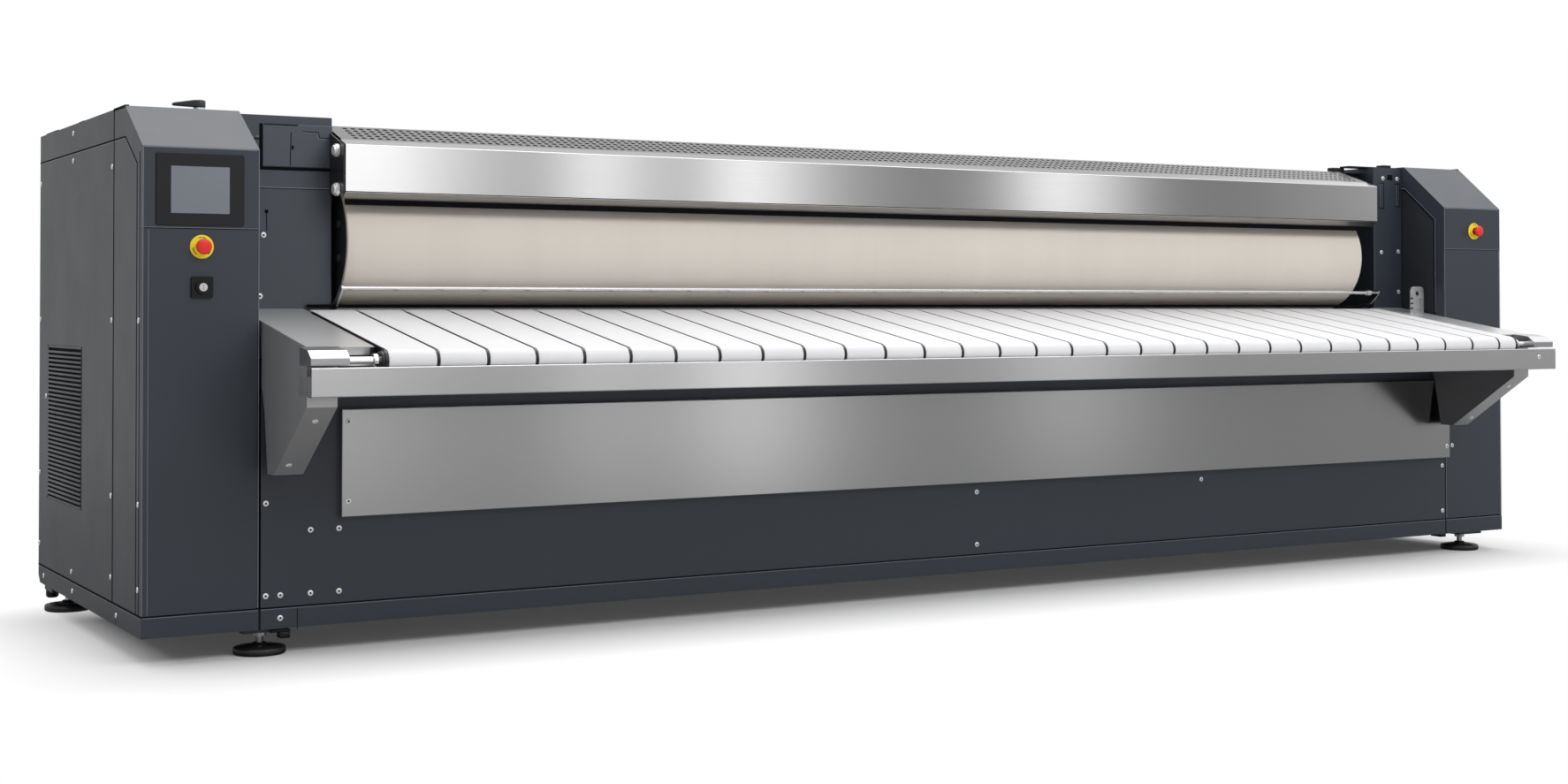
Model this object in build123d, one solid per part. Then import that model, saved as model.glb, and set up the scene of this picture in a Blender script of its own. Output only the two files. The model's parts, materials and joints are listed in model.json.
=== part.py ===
from build123d import *
import math
import os

os.makedirs("parts", exist_ok=True)

# A roll ironer for flat linen, in millimetres. X runs along the machine, Y from the feeding side to the
# back, Z up. The origin is at the middle of the machine's length and depth, on the floor.

# ---- Overall sizes ----
overall_length = 4300
cabinet_width = 256
cabinet_depth = 1120
cabinet_height = 1231
table_overhang = 413
spigot_reach = 40
sheet = 2
seam = 0.6
running = 0.05
soft_gap = 0.3

# ---- Base ----
base_clearance = 62
rail_height = 46
rail_width = 40
rail_chamfer = 3
rail_end_cut = 20
shadow_gap = 5
shadow_depth = 8

# ---- Cabinets ----
side_plate_thickness = 10
plate_setback = 5.5
outer_return = 50
inner_return = 38
bend = 5
hood_seam_left = 952
hood_seam_right = 961
slope_start_left = 1130
slope_start_right = 1093
slope_depth = 165
hood_band = 70
cheek_drop = 35
side_seam = 272
grille_back_inset = 110
grille_width = 404
grille_bottom = 290
grille_top = 685
grille_pitch = 11
grille_slot = 5
grille_border = 6

# ---- Roll ----
roll_radius = 162.5
roll_left_gap = 241
roll_right_gap = 247
roll_y = 274
roll_z = 936
cover_thickness = 10
tube_wall = 8
end_plate_thickness = 12
end_bolt_circle = 105
end_bolt_count = 8
journal_radius = 30
journal_clearance = 3
journal_left_reach = 60
bearing_size = 120
bearing_depth = 38

# ---- Roll drive ----
pulley_width = 30
pulley_offset = 119
roll_pulley_radius = 120
motor_pulley_radius = 45
pulley_recess = 8
motor_z = 420
belt_thickness = 3
gearbox_width = 70
gearbox_height = 140
gearbox_depth = 120
motor_length = 225
output_radius = 12
output_grip = 25
shelf_thickness = 8
feed_box_width = 70
feed_box_half_depth = 40
feed_box_half_height = 45
feed_box_corner = 10
feed_motor_drop = 75
feed_motor_length = 95
feed_motor_radius = 32
feed_shaft_grip = 40
feed_bearing_size = 60
feed_bearing_depth = 14
shelf_margin = 60

# ---- Chest ----
chest_wall = 14
chest_lip_angle = -14
chest_end_angle = 120
chest_inset = 3
chest_pivot_y = 200
chest_pivot_z = 680
chest_shaft_radius = 20
chest_lug_radius = 30
rib_count = 7
rib_thickness = 10
rib_reach = 228
rib_end_angle = 95
jacket_start_angle = 8
jacket_thickness = 1.5
heater_radius = 6
heater_count = 9
heater_clearance = 0.3
heater_first_angle = 6
heater_last_angle = 88
heater_tail = 40
notch_share = 0.85

# ---- Posts between the cabinets and the roll ----
post_front = 178
post_top = 1226
post_bottom = 753
post_left_width = 225
post_right_width = 123
access_left = 58
access_right = 224
access_bottom = 1107
access_top = 1206
access_rise = 2.5

# ---- Bonnet ----
bonnet_inset = 222
bonnet_front = 71
bonnet_bottom = 1046
bonnet_edge = 1157
bonnet_lip_depth = 24
bonnet_lip_drop = 16
bonnet_slope_back = 228
bonnet_slope_top = 1212
bonnet_plain = 40
bonnet_bend = 2.2
perforation_rows = 5
perforation_columns = 55
perforation_radius = 5
perforation_margin = 32
end_plate_sheet = 4
end_plate_inset = 4

# ---- Back ----
outlet_bottom = 843
outlet_top = 960
stripper_angle = 128
stripper_gap = 2
rear_flange = 25

# ---- Feed table ----
nose_y = -372
nose_z = 665
nose_roller_radius = 22
nose_shaft_radius = 10
drive_y = 142
drive_roller_radius = 30
drive_shaft_radius = 10
table_back_height = 773
table_belt_thickness = 2.5
table_belt_pitch = 113.8
table_belt_width = 107
belts_left_inset = 160
belts_right_inset = 147
belts_side_gap = 4
roller_wall = 3
roller_plug = 30
nose_roller_tail = 14
drive_roller_tail = 2
cover_drop = 3
front_panel_overlap = 11
front_panel_bottom = 592
front_panel_top = 653
front_flange = 14
beam_depth = 84
beam_height = 40
bed_front = -322
bed_back = 100
bed_flange = 16
bracket_gap = 6
bracket_width = 66
bracket_sheet = 3
bracket_front = -325
bracket_knee = 568
bracket_toe_front = -91
bracket_toe_back = -45
bracket_foot = 411
bracket_root = 600
bracket_back = 26
cap_overlap = 10
cap_length = 83
cap_front = -402
cap_bottom = 657
cap_round = 7
lower_panel_top = 660
lower_flange = 30
apron_left_inset = 184
apron_right_inset = 4
apron_bottom = 304
apron_top = 548
apron_depth = 20

# ---- Guard bar ----
guard_y = 130
guard_z = 824
guard_radius = 5.5
guard_pivot_y = 190
guard_pivot_z = 770
guard_pin_radius = 5
guard_neck_radius = 3.5
guard_boss_radius = 9
guard_boss_length = 16
guard_boss_inset = 87
crank_width = 16
crank_thickness = 5
crank_gap = 5
crank_right_inset = 41

# ---- Controls ----
screen_left = 28
screen_width = 193
screen_bottom = 958
screen_height = 159
screen_rise = 4
screen_corner = 5
screen_housing_depth = 45
screen_margin = 12
glass_left = 60
glass_width = 128
glass_bottom = 985
glass_height = 103
glass_thickness = 1.5
estop_left_z = 912
estop_right_z = 1020
estop_right_shift = 8
estop_disc_radius = 29
estop_disc_thickness = 2
estop_neck_radius = 14.5
estop_neck_height = 5
estop_stem_radius = 9.5
estop_barrel_radius = 12.5
estop_barrel_length = 45
estop_head_radius = 17.5
estop_head_start = 12
estop_head_length = 15
estop_head_round = 3.5
key_z = 823
key_plate = 47
key_plate_thickness = 7
key_ring_radius = 15
key_ring_height = 13
key_rotor_radius = 9
key_rotor_rise = 16
key_depth = 30
key_slot = 2
box_front = 62
box_back = 300
box_bottom = 200
box_top = 640
box_depth = 190
box_margin = 30
box_rail_depth = 60

# ---- Extraction fan, in the left cabinet ----
fan_back_inset = 320
fan_z = 560
fan_housing_radius = 190
fan_housing_width = 150
fan_wheel_radius = 150
fan_wheel_gap = 15
fan_blades = 20
fan_blade = 3
fan_disc = 4
fan_hub_length = 40
fan_inlet_radius = 80
fan_motor_radius = 75
fan_motor_length = 80
fan_shaft_radius = 10
outlet_height = 150
outlet_start = 40
spigot_radius = 70
spigot_flange_radius = 85

# ---- Small pieces ----
foot_pad_radius = 58.5
foot_pad_height = 12
foot_dish_radius = 40
foot_dish_height = 19
foot_hub_radius = 14
foot_hub_height = 26
stem_radius = 8
stem_top = 92
foot_nut_radius = 15
foot_nut_height = 12
foot_plate_thickness = 10
foot_plate_half = 50
foot_plate_depth_half = 45
foot_inset = 50
foot_inset_front = 122
foot_left_overlap = 22
foot_front = 67
foot_back_inset = 128
screw_radius = 5.5
screw_height = 2.5
shank_radius = 2.5
shank_length = 12
shank_clearance = 0.3
bush_radius = 8
bush_length = 14
lever_x = 200
lever_y = 300
lever_boss_radius = 9
lever_boss_height = 22
lever_thickness = 12
lever_width = 20
lever_length = 62
gland_x = 24
gland_back_inset = 58
gland_radius = 16
gland_drop = 36
gland_bore = 7
stop_inset = 88
stop_width = 60
stop_y = 60
stop_rise = 86
stop_sheet = 3
stop_foot = 24
stop_corner = 12
stop_hole = 7

# ---- Derived places ----
half = overall_length / 2
inner = half - cabinet_width
switch_x = cabinet_width / 2
front = table_overhang - (table_overhang + cabinet_depth + spigot_reach) / 2
back = front + cabinet_depth
rail_top = base_clearance + rail_height
plate_inner = inner + sheet
plate_outer = plate_inner + side_plate_thickness
roll_left = roll_left_gap - inner
roll_right = inner - roll_right_gap
roll_centre = (front + roll_y, roll_z)
pulley_start = plate_outer + pulley_offset
pulley_end = pulley_start + pulley_width
motor_centre = (front + roll_y, motor_z)
gearbox_start = pulley_end + 9
tube_radius = roll_radius - cover_thickness
post_left_x = -inner + post_left_width
post_right_x = inner - post_right_width
panel_half = inner - shadow_gap
bonnet_half_length = inner - bonnet_inset
apron_left = apron_left_inset - inner
apron_right = inner - apron_right_inset
grille_back = cabinet_depth - grille_back_inset
grille_front = grille_back - grille_width
loop_gap = soft_gap + table_belt_thickness
drive_z = table_back_height - drive_roller_radius - loop_gap
nose_centre = (front + nose_y, nose_z)
drive_centre = (front + drive_y, drive_z)
first_belt_x = belts_left_inset - inner
belts_right = inner - belts_right_inset
full_belts = int((belts_right - first_belt_x) / table_belt_pitch)
last_belt_width = min(belts_right - first_belt_x - full_belts * table_belt_pitch, table_belt_width)
front_panel_half = inner + front_panel_overlap
bracket_half = inner - bracket_gap
cap_outer = inner + cap_overlap
cap_inner = cap_outer - cap_length
guard_boss_x = post_right_x - guard_boss_inset
crank_right_x = post_right_x - crank_right_inset
stop_x = inner - stop_inset
table_front = front - table_overhang + screw_height
chest_pivot = (front + chest_pivot_y, chest_pivot_z)
chest_radius = roll_radius + soft_gap
chest_back = chest_radius + chest_wall
heater_ring = chest_back + heater_radius + heater_clearance
fan_centre = (back - fan_back_inset, fan_z)
fan_right = -plate_outer
fan_left = fan_right - fan_housing_width
spigot_x = (fan_left + fan_right) / 2
spigot_z = fan_z + outlet_start + outlet_height / 2


# ---- Shapes ----
def block(x, y, z):
    """Box between two limits on each axis."""
    limits = (x, y, z)
    size = [abs(pair[1] - pair[0]) for pair in limits]
    middle = [(pair[0] + pair[1]) / 2 for pair in limits]
    return Pos(*middle) * Box(*size)


def prism(points, x0, x1):
    """Outline given in (y, z), carried along X."""
    outline = make_face(Polyline(*points, close=True))
    return extrude(Plane.YZ.offset(x0) * outline, amount=x1 - x0)


def folded(points, x0, x1, radius=0, thickness=sheet, side=Side.RIGHT):
    """Sheet bent along a path in (y, z), carried along X."""
    path = FilletPolyline(*points, radius=radius) if radius else Polyline(*points)
    section = make_face(offset(path, amount=thickness, side=side, closed=True))
    return extrude(Plane.YZ.offset(x0) * section, amount=x1 - x0)


def ring(radius, bore=0):
    """Disc, or annulus where a bore is given."""
    return Circle(radius) - Circle(bore) if bore else Circle(radius)


def rod_x(centre, x0, x1, radius, bore=0):
    """Round bar or tube along X, centred on a point in (y, z)."""
    return extrude(Plane.YZ.offset(x0) * Pos(*centre) * ring(radius, bore), amount=x1 - x0)


def rod_y(x, z, y0, y1, radius, bore=0):
    """Round bar or tube along Y."""
    plane = Plane(origin=(x, y0, z), x_dir=(1, 0, 0), z_dir=(0, 1, 0))
    return extrude(plane * ring(radius, bore), amount=y1 - y0)


def rod_z(x, y, z0, z1, radius, bore=0):
    """Round bar or tube along Z."""
    return extrude(Plane.XY.offset(z0) * Pos(x, y) * ring(radius, bore), amount=z1 - z0)


def tangent_line(first, first_radius, second, second_radius, side):
    """Two points where an outer tangent touches a pair of circles; side is 1 above and -1 below."""
    run = second[0] - first[0]
    rise = second[1] - first[1]
    span = math.hypot(run, rise)
    heading = math.atan2(rise, run) + side * math.asin((second_radius - first_radius) / span)
    normal = (-math.sin(heading) * side, math.cos(heading) * side)
    touch = []
    for centre, radius in ((first, first_radius), (second, second_radius)):
        touch.append((centre[0] + normal[0] * radius, centre[1] + normal[1] * radius))
    return touch


def loop_outline(first, first_radius, second, second_radius):
    """Face inside a belt that runs round two circles."""
    upper = tangent_line(first, first_radius, second, second_radius, 1)
    lower = tangent_line(first, first_radius, second, second_radius, -1)
    middle = make_face(Polyline(upper[0], upper[1], lower[1], lower[0], close=True))
    return middle + Pos(*first) * Circle(first_radius) + Pos(*second) * Circle(second_radius)


def belt_loop(first, first_radius, second, second_radius, thickness, x0, x1):
    """Belt of one thickness round two pulleys, with a small gap to each."""
    inside = loop_outline(first, first_radius + soft_gap, second, second_radius + soft_gap)
    outer_first = first_radius + soft_gap + thickness
    outer_second = second_radius + soft_gap + thickness
    outside = loop_outline(first, outer_first, second, outer_second)
    return extrude(Plane.YZ.offset(x0) * (outside - inside), amount=x1 - x0)


def sector(centre, inner_radius, outer_radius, start, end, x0, x1):
    """Curved plate; angles are counted from straight down towards the back."""
    turn = end - start
    inner_arc = CenterArc(centre, inner_radius, start - 90, turn)
    outer_arc = CenterArc(centre, outer_radius, start - 90, turn)
    edges = [inner_arc, Line(inner_arc @ 1, outer_arc @ 1), outer_arc, Line(outer_arc @ 0, inner_arc @ 0)]
    return extrude(Plane.YZ.offset(x0) * make_face(edges), amount=x1 - x0)


def polar(centre, radius, angle):
    """Point at an angle counted from straight down towards the back."""
    turn = math.radians(angle)
    return (centre[0] + radius * math.sin(turn), centre[1] - radius * math.cos(turn))


def screw(point, normal):
    """Pan head screw: a head on the surface and a shank below it."""
    plane = Plane(origin=point, z_dir=normal)
    head = extrude(plane * Circle(screw_radius), amount=screw_height)
    shank = extrude(plane * Circle(shank_radius), amount=-shank_length)
    return head + shank


def screw_hole(point, normal):
    """Clearance hole for the shank of a screw."""
    plane = Plane(origin=point, z_dir=normal)
    return extrude(plane * Circle(shank_radius + shank_clearance), amount=-shank_length - 1)


def drilled(shape, points, normal):
    """Shape with a clearance hole for each screw."""
    for point in points:
        shape = shape - screw_hole(point, normal)
    return shape


def mirrored(shape):
    """The same piece on the other end of the machine."""
    return mirror(shape, about=Plane.YZ)


def belt_top(y):
    """Height of the feed belts' upper run; y is counted from the cabinets' front."""
    upper = tangent_line(nose_centre, nose_roller_radius + loop_gap, drive_centre,
                         drive_roller_radius + loop_gap, 1)
    slope = (upper[1][1] - upper[0][1]) / (upper[1][0] - upper[0][0])
    return upper[0][1] + slope * (front + y - upper[0][0])


def cover_top(y):
    """Height of the table's side covers, a little below the belts."""
    return belt_top(y) - cover_drop


def save(name, *pieces):
    """Write one node; pieces that don't touch stay separate solids."""
    shape = pieces[0] if len(pieces) == 1 else Compound(children=list(pieces))
    export_step(shape, f"parts/{name}.step")


# ---- Screw places ----
front_edge_screw = 30
seam_screw = side_seam + 16
middle_screw = 710
back_edge_screw = cabinet_depth - 13
rail_screw_z = base_clearance + rail_height / 2
side_screws = [(front + y, z) for y in (front_edge_screw, seam_screw, back_edge_screw) for z in (165, 350, 750)]
side_screws += [(front + seam_screw, cabinet_height - 130), (front + back_edge_screw, cabinet_height - 126)]
side_screws += [(front + middle_screw, 132), (front + middle_screw, cabinet_height - 90)]
side_screws += [(front + (grille_back + back_edge_screw) / 2 - 29, 552)]
hood_side_screws = [(front + middle_screw, cabinet_height - 22)]
rail_side_screws = [(front + y, rail_screw_z) for y in (231, 699, cabinet_depth - 70)]
lower_upper_row = 278
lower_row = 136
lower_places = [(16 - inner, 342), (16 - inner, lower_row), (49 - inner, lower_row)]
lower_places += [(x, z) for x in (118 - inner, 184 - inner, 69, 872, inner - 18)
                 for z in (lower_upper_row, lower_row)]
lower_places.remove((872, lower_row))
lower_points = [(x, front, z) for x, z in lower_places]
rail_front_points = [(49 - inner, front, rail_screw_z)]
apron_points = [(x, front - apron_depth, z) for x in (apron_left + 15, apron_right - 15)
                for z in (apron_bottom + 36, apron_top - 28)]
cabinet_front_points = [(inner + 28, front, 340)]
table_points = [(front_panel_half - 73, table_front, 629)]
post_left_points = [(61 - inner, front + post_front, 947), (53 - inner, front + post_front, 805)]
post_right_places = [(82, 1193), (18, 1193), (14, 958), (14, 828), (91, 955)]
post_right_points = [(inner - x, front + post_front, z) for x, z in post_right_places]


def side_points(places, side):
    """Screw places on the outer side of a cabinet."""
    return [(side * half, y, z) for y, z in places]


# ---- Base ----
def base_frame():
    """Bars under each cabinet, the long rails between them and the plates that carry the feet."""
    outer_bar_outline = [
        (front, base_clearance), (back - rail_end_cut, base_clearance), (back, base_clearance + rail_end_cut),
        (back, rail_top), (front, rail_top)]
    bars = []
    for side in (-1, 1):
        outer_bar = prism(outer_bar_outline, side * half, side * (half - rail_width))
        top_edges = outer_bar.edges().filter_by(Axis.Y).group_by(Axis.Z)[-1]
        top_edge = top_edges.sort_by(Axis.X)[0 if side < 0 else -1]
        outer_bar = chamfer(top_edge, rail_chamfer)
        outer_bar = drilled(outer_bar, side_points(rail_side_screws, side), (side, 0, 0))
        inner_bar = prism(outer_bar_outline, side * (inner + rail_width), side * inner)
        cross = (side * (inner + rail_width), side * (half - rail_width))
        front_bar = block(cross, (front, front + rail_width), (base_clearance, rail_top))
        back_bar = block(cross, (back - rail_width, back - rail_end_cut), (base_clearance, rail_top))
        bars += [outer_bar, inner_bar, front_bar, back_bar]
    front_rail = block((-panel_half, panel_half), (front, front + shadow_depth), (base_clearance, rail_top))
    front_rail = front_rail + block((-inner, inner), (front + shadow_depth, front + rail_width),
                                    (base_clearance, rail_top))
    front_rail = drilled(front_rail, rail_front_points, (0, -1, 0))
    back_rail = block((-inner, inner), (back - rail_width, back - rail_end_cut), (base_clearance, rail_top))
    plates = []
    for x, y in foot_places:
        plate = block((x - foot_plate_half, x + foot_plate_half),
                      (y - foot_plate_depth_half, y + foot_plate_depth_half),
                      (base_clearance - foot_plate_thickness, base_clearance))
        plate = plate - rod_z(x, y, 0, cabinet_height, stem_radius + shank_clearance)
        plates.append(plate - gland_space(gland_radius + shank_clearance))
    bars[0] = bars[0] - gland_space(gland_bore)
    return bars + [front_rail, back_rail] + plates


def gland_space(radius):
    """Round space round the supply cable's way through the base."""
    return rod_z(gland_x - half, back - gland_back_inset, 0, rail_top + 1, radius)


foot_places = [(foot_left_overlap - inner, front + foot_front), (half - foot_inset_front, front + foot_front),
               (foot_inset - half, back - foot_back_inset), (half - foot_inset, back - foot_back_inset)]


def foot_pads():
    """Rubber pads under the levelling screws."""
    pads = []
    for x, y in foot_places:
        pad = rod_z(x, y, 0, foot_pad_height, foot_pad_radius)
        pad = chamfer(pad.edges().group_by(Axis.Z)[-1], foot_pad_height / 4)
        pad = pad + rod_z(x, y, foot_pad_height, foot_dish_height, foot_dish_radius)
        pads.append(pad + rod_z(x, y, foot_dish_height, foot_hub_height, foot_hub_radius))
    return pads


def foot_stems():
    """Levelling screws, each with the nut that locks it under the base."""
    pieces = []
    nut_top = base_clearance - foot_plate_thickness
    for x, y in foot_places:
        pieces.append(rod_z(x, y, foot_hub_height, stem_top, stem_radius))
        nut = Plane.XY.offset(nut_top - foot_nut_height) * Pos(x, y) * RegularPolygon(foot_nut_radius, 6)
        nut = extrude(nut, amount=foot_nut_height)
        pieces.append(nut - rod_z(x, y, 0, nut_top + 1, stem_radius))
    return pieces


# ---- Cabinets ----
def side_plate(side, holes):
    """Steel plate that closes a cabinet towards the roll and carries the bearings."""
    slope_start = slope_start_left if side < 0 else slope_start_right
    roof = cabinet_height - sheet - plate_setback
    outline = [(front + plate_setback, rail_top), (front + plate_setback, slope_start - plate_setback),
               (front + slope_depth + plate_setback, roof), (back - sheet, roof), (back - sheet, rail_top)]
    plate = prism(outline, side * plate_inner, side * plate_outer)
    for centre, radius in holes:
        plate = plate - rod_x(centre, side * (plate_inner - 1), side * (plate_outer + 1), radius)
    return plate


def side_plates():
    """Both side plates, with the bores that the shafts run in."""
    shared = [(roll_centre, journal_radius + journal_clearance), (drive_centre, drive_shaft_radius + 2),
              (chest_pivot, chest_shaft_radius + running)]
    left = side_plate(-1, shared + [(fan_centre, fan_inlet_radius)])
    return [left, side_plate(1, shared)]


def cabinet_front(seam_height):
    """Front panel of the right cabinet: one sheet with a return at each side."""
    path = FilletPolyline((inner, front + inner_return), (inner, front), (half, front),
                          (half, front + outer_return), radius=bend)
    section = make_face(offset(path, amount=sheet, side=Side.LEFT, closed=True))
    height = seam_height - seam - rail_top
    return extrude(Plane.XY.offset(rail_top) * section, amount=height)


def hood(seam_height, slope_start):
    """Top cover of the right cabinet: front, slope and roof in one sheet, with a cheek at each side."""
    path = [(front, seam_height), (front, slope_start), (front + slope_depth, cabinet_height),
            (back, cabinet_height)]
    cover = folded(path, inner, half, radius=bend)
    band_bottom = cabinet_height - hood_band
    for x0, x1, reach in ((inner, inner + sheet, inner_return), (half - sheet, half, outer_return)):
        cheek = [(front + sheet, seam_height), (front + sheet, slope_start),
                 (front + slope_depth, cabinet_height - sheet), (back, cabinet_height - sheet),
                 (back, band_bottom), (front + slope_depth - 4, band_bottom),
                 (front + reach, slope_start - cheek_drop), (front + reach, seam_height)]
        cover = cover + prism(cheek, x0, x1)
    return cover


def side_panel_pair(side):
    """The two outer side panels of a cabinet, under the hood's band."""
    slope_start = slope_start_left if side < 0 else slope_start_right
    top = cabinet_height - hood_band - seam
    x0, x1 = side * (half - sheet), side * half
    leading = front + outer_return + seam
    outline = [(leading, rail_top), (leading, slope_start - cheek_drop - seam),
               (front + slope_depth - 4, top), (front + side_seam - seam, top),
               (front + side_seam - seam, rail_top)]
    front_panel = prism(outline, x0, x1)
    back_panel = block((x0, x1), (front + side_seam, back), (rail_top, top))
    places = side_points(side_screws, side)
    return drilled(front_panel, places, (side, 0, 0)), drilled(back_panel, places, (side, 0, 0))


def vent_grille():
    """Louvred grille in the left side."""
    x0, x1 = -half, sheet - half
    plate = block((x0, x1), (front + grille_front + seam, front + grille_back - seam),
                  (grille_bottom + seam, grille_top - seam))
    count = int((grille_top - grille_bottom - 2 * grille_border) / grille_pitch)
    for index in range(count):
        z = grille_bottom + grille_border + (index + 0.5) * grille_pitch
        plate = plate - block((x0 - 1, x1 + 1),
                              (front + grille_front + grille_border, front + grille_back - grille_border),
                              (z - grille_slot / 2, z + grille_slot / 2))
    return plate


def back_panel(side):
    """Back of one cabinet."""
    return block((side * plate_inner, side * (half - sheet)), (back - sheet, back),
                 (rail_top, cabinet_height - sheet))


# ---- Posts ----
def post_cover(x_cabinet, x_roll):
    """Five-sided housing between a cabinet and the roll, open below and towards the cabinet."""
    toward = 1 if x_roll > x_cabinet else -1
    y0, y1 = front + post_front, back - sheet
    shell = block((x_cabinet, x_roll), (y0, y1), (post_bottom, post_top))
    shell = fillet(shell.edges().filter_by(Axis.Z).sort_by(Axis.Y)[0:2].sort_by(Axis.X)[-1 if toward > 0 else 0],
                   bend)
    hollow = block((x_cabinet - toward, x_roll - toward * sheet), (y0 + sheet, y1 - sheet),
                   (post_bottom - 1, post_top - sheet))
    shell = shell - hollow
    wall = (x_roll - 2 * toward * sheet, x_roll + toward)
    shell = shell - rod_x(roll_centre, wall[0], wall[1], journal_radius + journal_clearance)
    pivot = (front + guard_pivot_y, guard_pivot_z)
    return shell - rod_x(pivot, wall[0], wall[1], guard_pin_radius + running)


def post_access_cover():
    """Raised cover plate on the left post."""
    y = front + post_front
    plate = block((access_left - inner, access_right - inner), (y - access_rise, y),
                  (access_bottom, access_top))
    return chamfer(plate.edges().group_by(Axis.Y)[0], access_rise / 2)


# ---- Middle ----
def lower_front_panel():
    """Painted panel between the cabinets, under the table."""
    path = [(front, rail_top), (front, lower_panel_top), (front + lower_flange, lower_panel_top)]
    return drilled(folded(path, -panel_half, panel_half), lower_points, (0, -1, 0))


def apron_panel():
    """Bright tray-shaped panel on the lower front panel."""
    y0 = front - apron_depth
    tray = block((apron_left, apron_right), (y0, front), (apron_bottom, apron_top))
    tray = fillet(tray.edges().group_by(Axis.Y)[0], sheet)
    tray = tray - block((apron_left + sheet, apron_right - sheet), (y0 + sheet, front + 1),
                        (apron_bottom + sheet, apron_top - sheet))
    return drilled(tray, apron_points, (0, -1, 0))


def rear_panel():
    """Back of the machine below the outlet."""
    top = outlet_bottom - sheet
    wall = block((-panel_half, panel_half), (back - sheet, back), (rail_top, top))
    return wall + block((post_left_x, post_right_x), (back - rear_flange, back), (top - sheet, top))


def bonnet_slope(y):
    """Height of the bonnet's sloping top; y is counted from the cabinets' front."""
    rise = (bonnet_slope_top - bonnet_edge) / (bonnet_slope_back - bonnet_front)
    return bonnet_edge + rise * (y - bonnet_front)


def bonnet():
    """Bright front hood over the roll."""
    path = [(front + bonnet_front + bonnet_lip_depth, bonnet_bottom - bonnet_lip_drop),
            (front + bonnet_front, bonnet_bottom), (front + bonnet_front, bonnet_edge),
            (front + bonnet_front + bonnet_plain, bonnet_slope(bonnet_front + bonnet_plain))]
    return folded(path, -bonnet_half_length, bonnet_half_length, radius=bonnet_bend)


def bonnet_grille():
    """Perforated sheet that lets the vapour out above the roll."""
    start = bonnet_front + bonnet_plain
    low = (front + start, bonnet_slope(start))
    high = (front + bonnet_slope_back, bonnet_slope_top)
    x0, x1 = post_left_x + seam, bonnet_half_length
    run = math.hypot(high[0] - low[0], high[1] - low[1])
    angle = math.degrees(math.atan2(high[1] - low[1], high[0] - low[0]))
    plane = Plane(origin=(x0, low[0], low[1])).rotated((angle, 0, 0))
    plate = Pos((x1 - x0) / 2, run / 2) * Rectangle(x1 - x0, run)
    step = (x1 - x0 - 2 * perforation_margin) / (perforation_columns - 1)
    row_step = run / (perforation_rows + 1)
    holes = []
    for column in range(perforation_columns):
        for row in range(perforation_rows):
            holes.append(Pos(perforation_margin + column * step, (row + 1) * row_step)
                         * Circle(perforation_radius))
    return extrude(plane * (plate - holes), amount=-sheet)


def bonnet_end_plate(side):
    """Black plate that closes one end of the bonnet and holds it to the post."""
    start = bonnet_front + end_plate_inset
    stop = post_front - access_rise - seam
    top_start = bonnet_slope(start) - 2 * sheet
    outline = [(front + start, bonnet_bottom), (front + start, top_start),
               (front + stop, bonnet_slope(stop) - 2 * sheet), (front + stop, bonnet_bottom)]
    x = bonnet_half_length
    plate = prism(outline, side * x, side * (x + end_plate_sheet))
    for z in bush_heights:
        centre = (front + bush_y, z)
        plate = plate - rod_x(centre, side * (x - 1), side * (x + end_plate_sheet + 1), shank_radius
                              + shank_clearance)
    return plate


bush_y = 112
bush_heights = (bonnet_bottom + 8, bonnet_edge - 12)


def bushes():
    """Bright bush ends outside the bonnet's end plates."""
    pieces = []
    for side in (-1, 1):
        start = bonnet_half_length + end_plate_sheet
        for z in bush_heights:
            centre = (front + bush_y, z)
            bush = rod_x(centre, side * start, side * (start + bush_length), bush_radius)
            pieces.append(bush + rod_x(centre, side * (start - end_plate_sheet - sheet), side * start,
                                       shank_radius))
    return pieces


def top_cover():
    """Roof between the posts, folded down at the back to the outlet."""
    path = [(front + bonnet_slope_back + 2 * seam, bonnet_slope_top), (back, bonnet_slope_top), (back, outlet_top)]
    return folded(path, post_left_x, post_right_x)


def delivery_chute():
    """Sheet that takes the linen off the roll and out at the back."""
    start = polar(roll_centre, roll_radius + stripper_gap, stripper_angle)
    path = [start, (back - sheet, outlet_bottom)]
    return folded(path, post_left_x, post_right_x, side=Side.LEFT)


# ---- Roll ----
def roll_tube():
    """Steel tube of the roll."""
    return rod_x(roll_centre, roll_left, roll_right, tube_radius, tube_radius - tube_wall)


def roll_cover():
    """Padding with its woven cover, round the tube."""
    return rod_x(roll_centre, roll_left, roll_right, roll_radius, tube_radius)


def roll_end(side):
    """End plate with its journal and bolts' heads."""
    face = roll_left if side < 0 else roll_right
    tip = -plate_outer - journal_left_reach if side < 0 else pulley_end
    inward = -side * end_plate_thickness
    disc = rod_x(roll_centre, face, face + inward, tube_radius - tube_wall)
    shaft = disc + rod_x(roll_centre, face, tip, journal_radius)
    for index in range(end_bolt_count):
        centre = polar(roll_centre, end_bolt_circle, 360 * (index + 0.5) / end_bolt_count)
        shaft = shaft + rod_x(centre, face, face + side * 6, 9)
    return shaft


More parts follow.
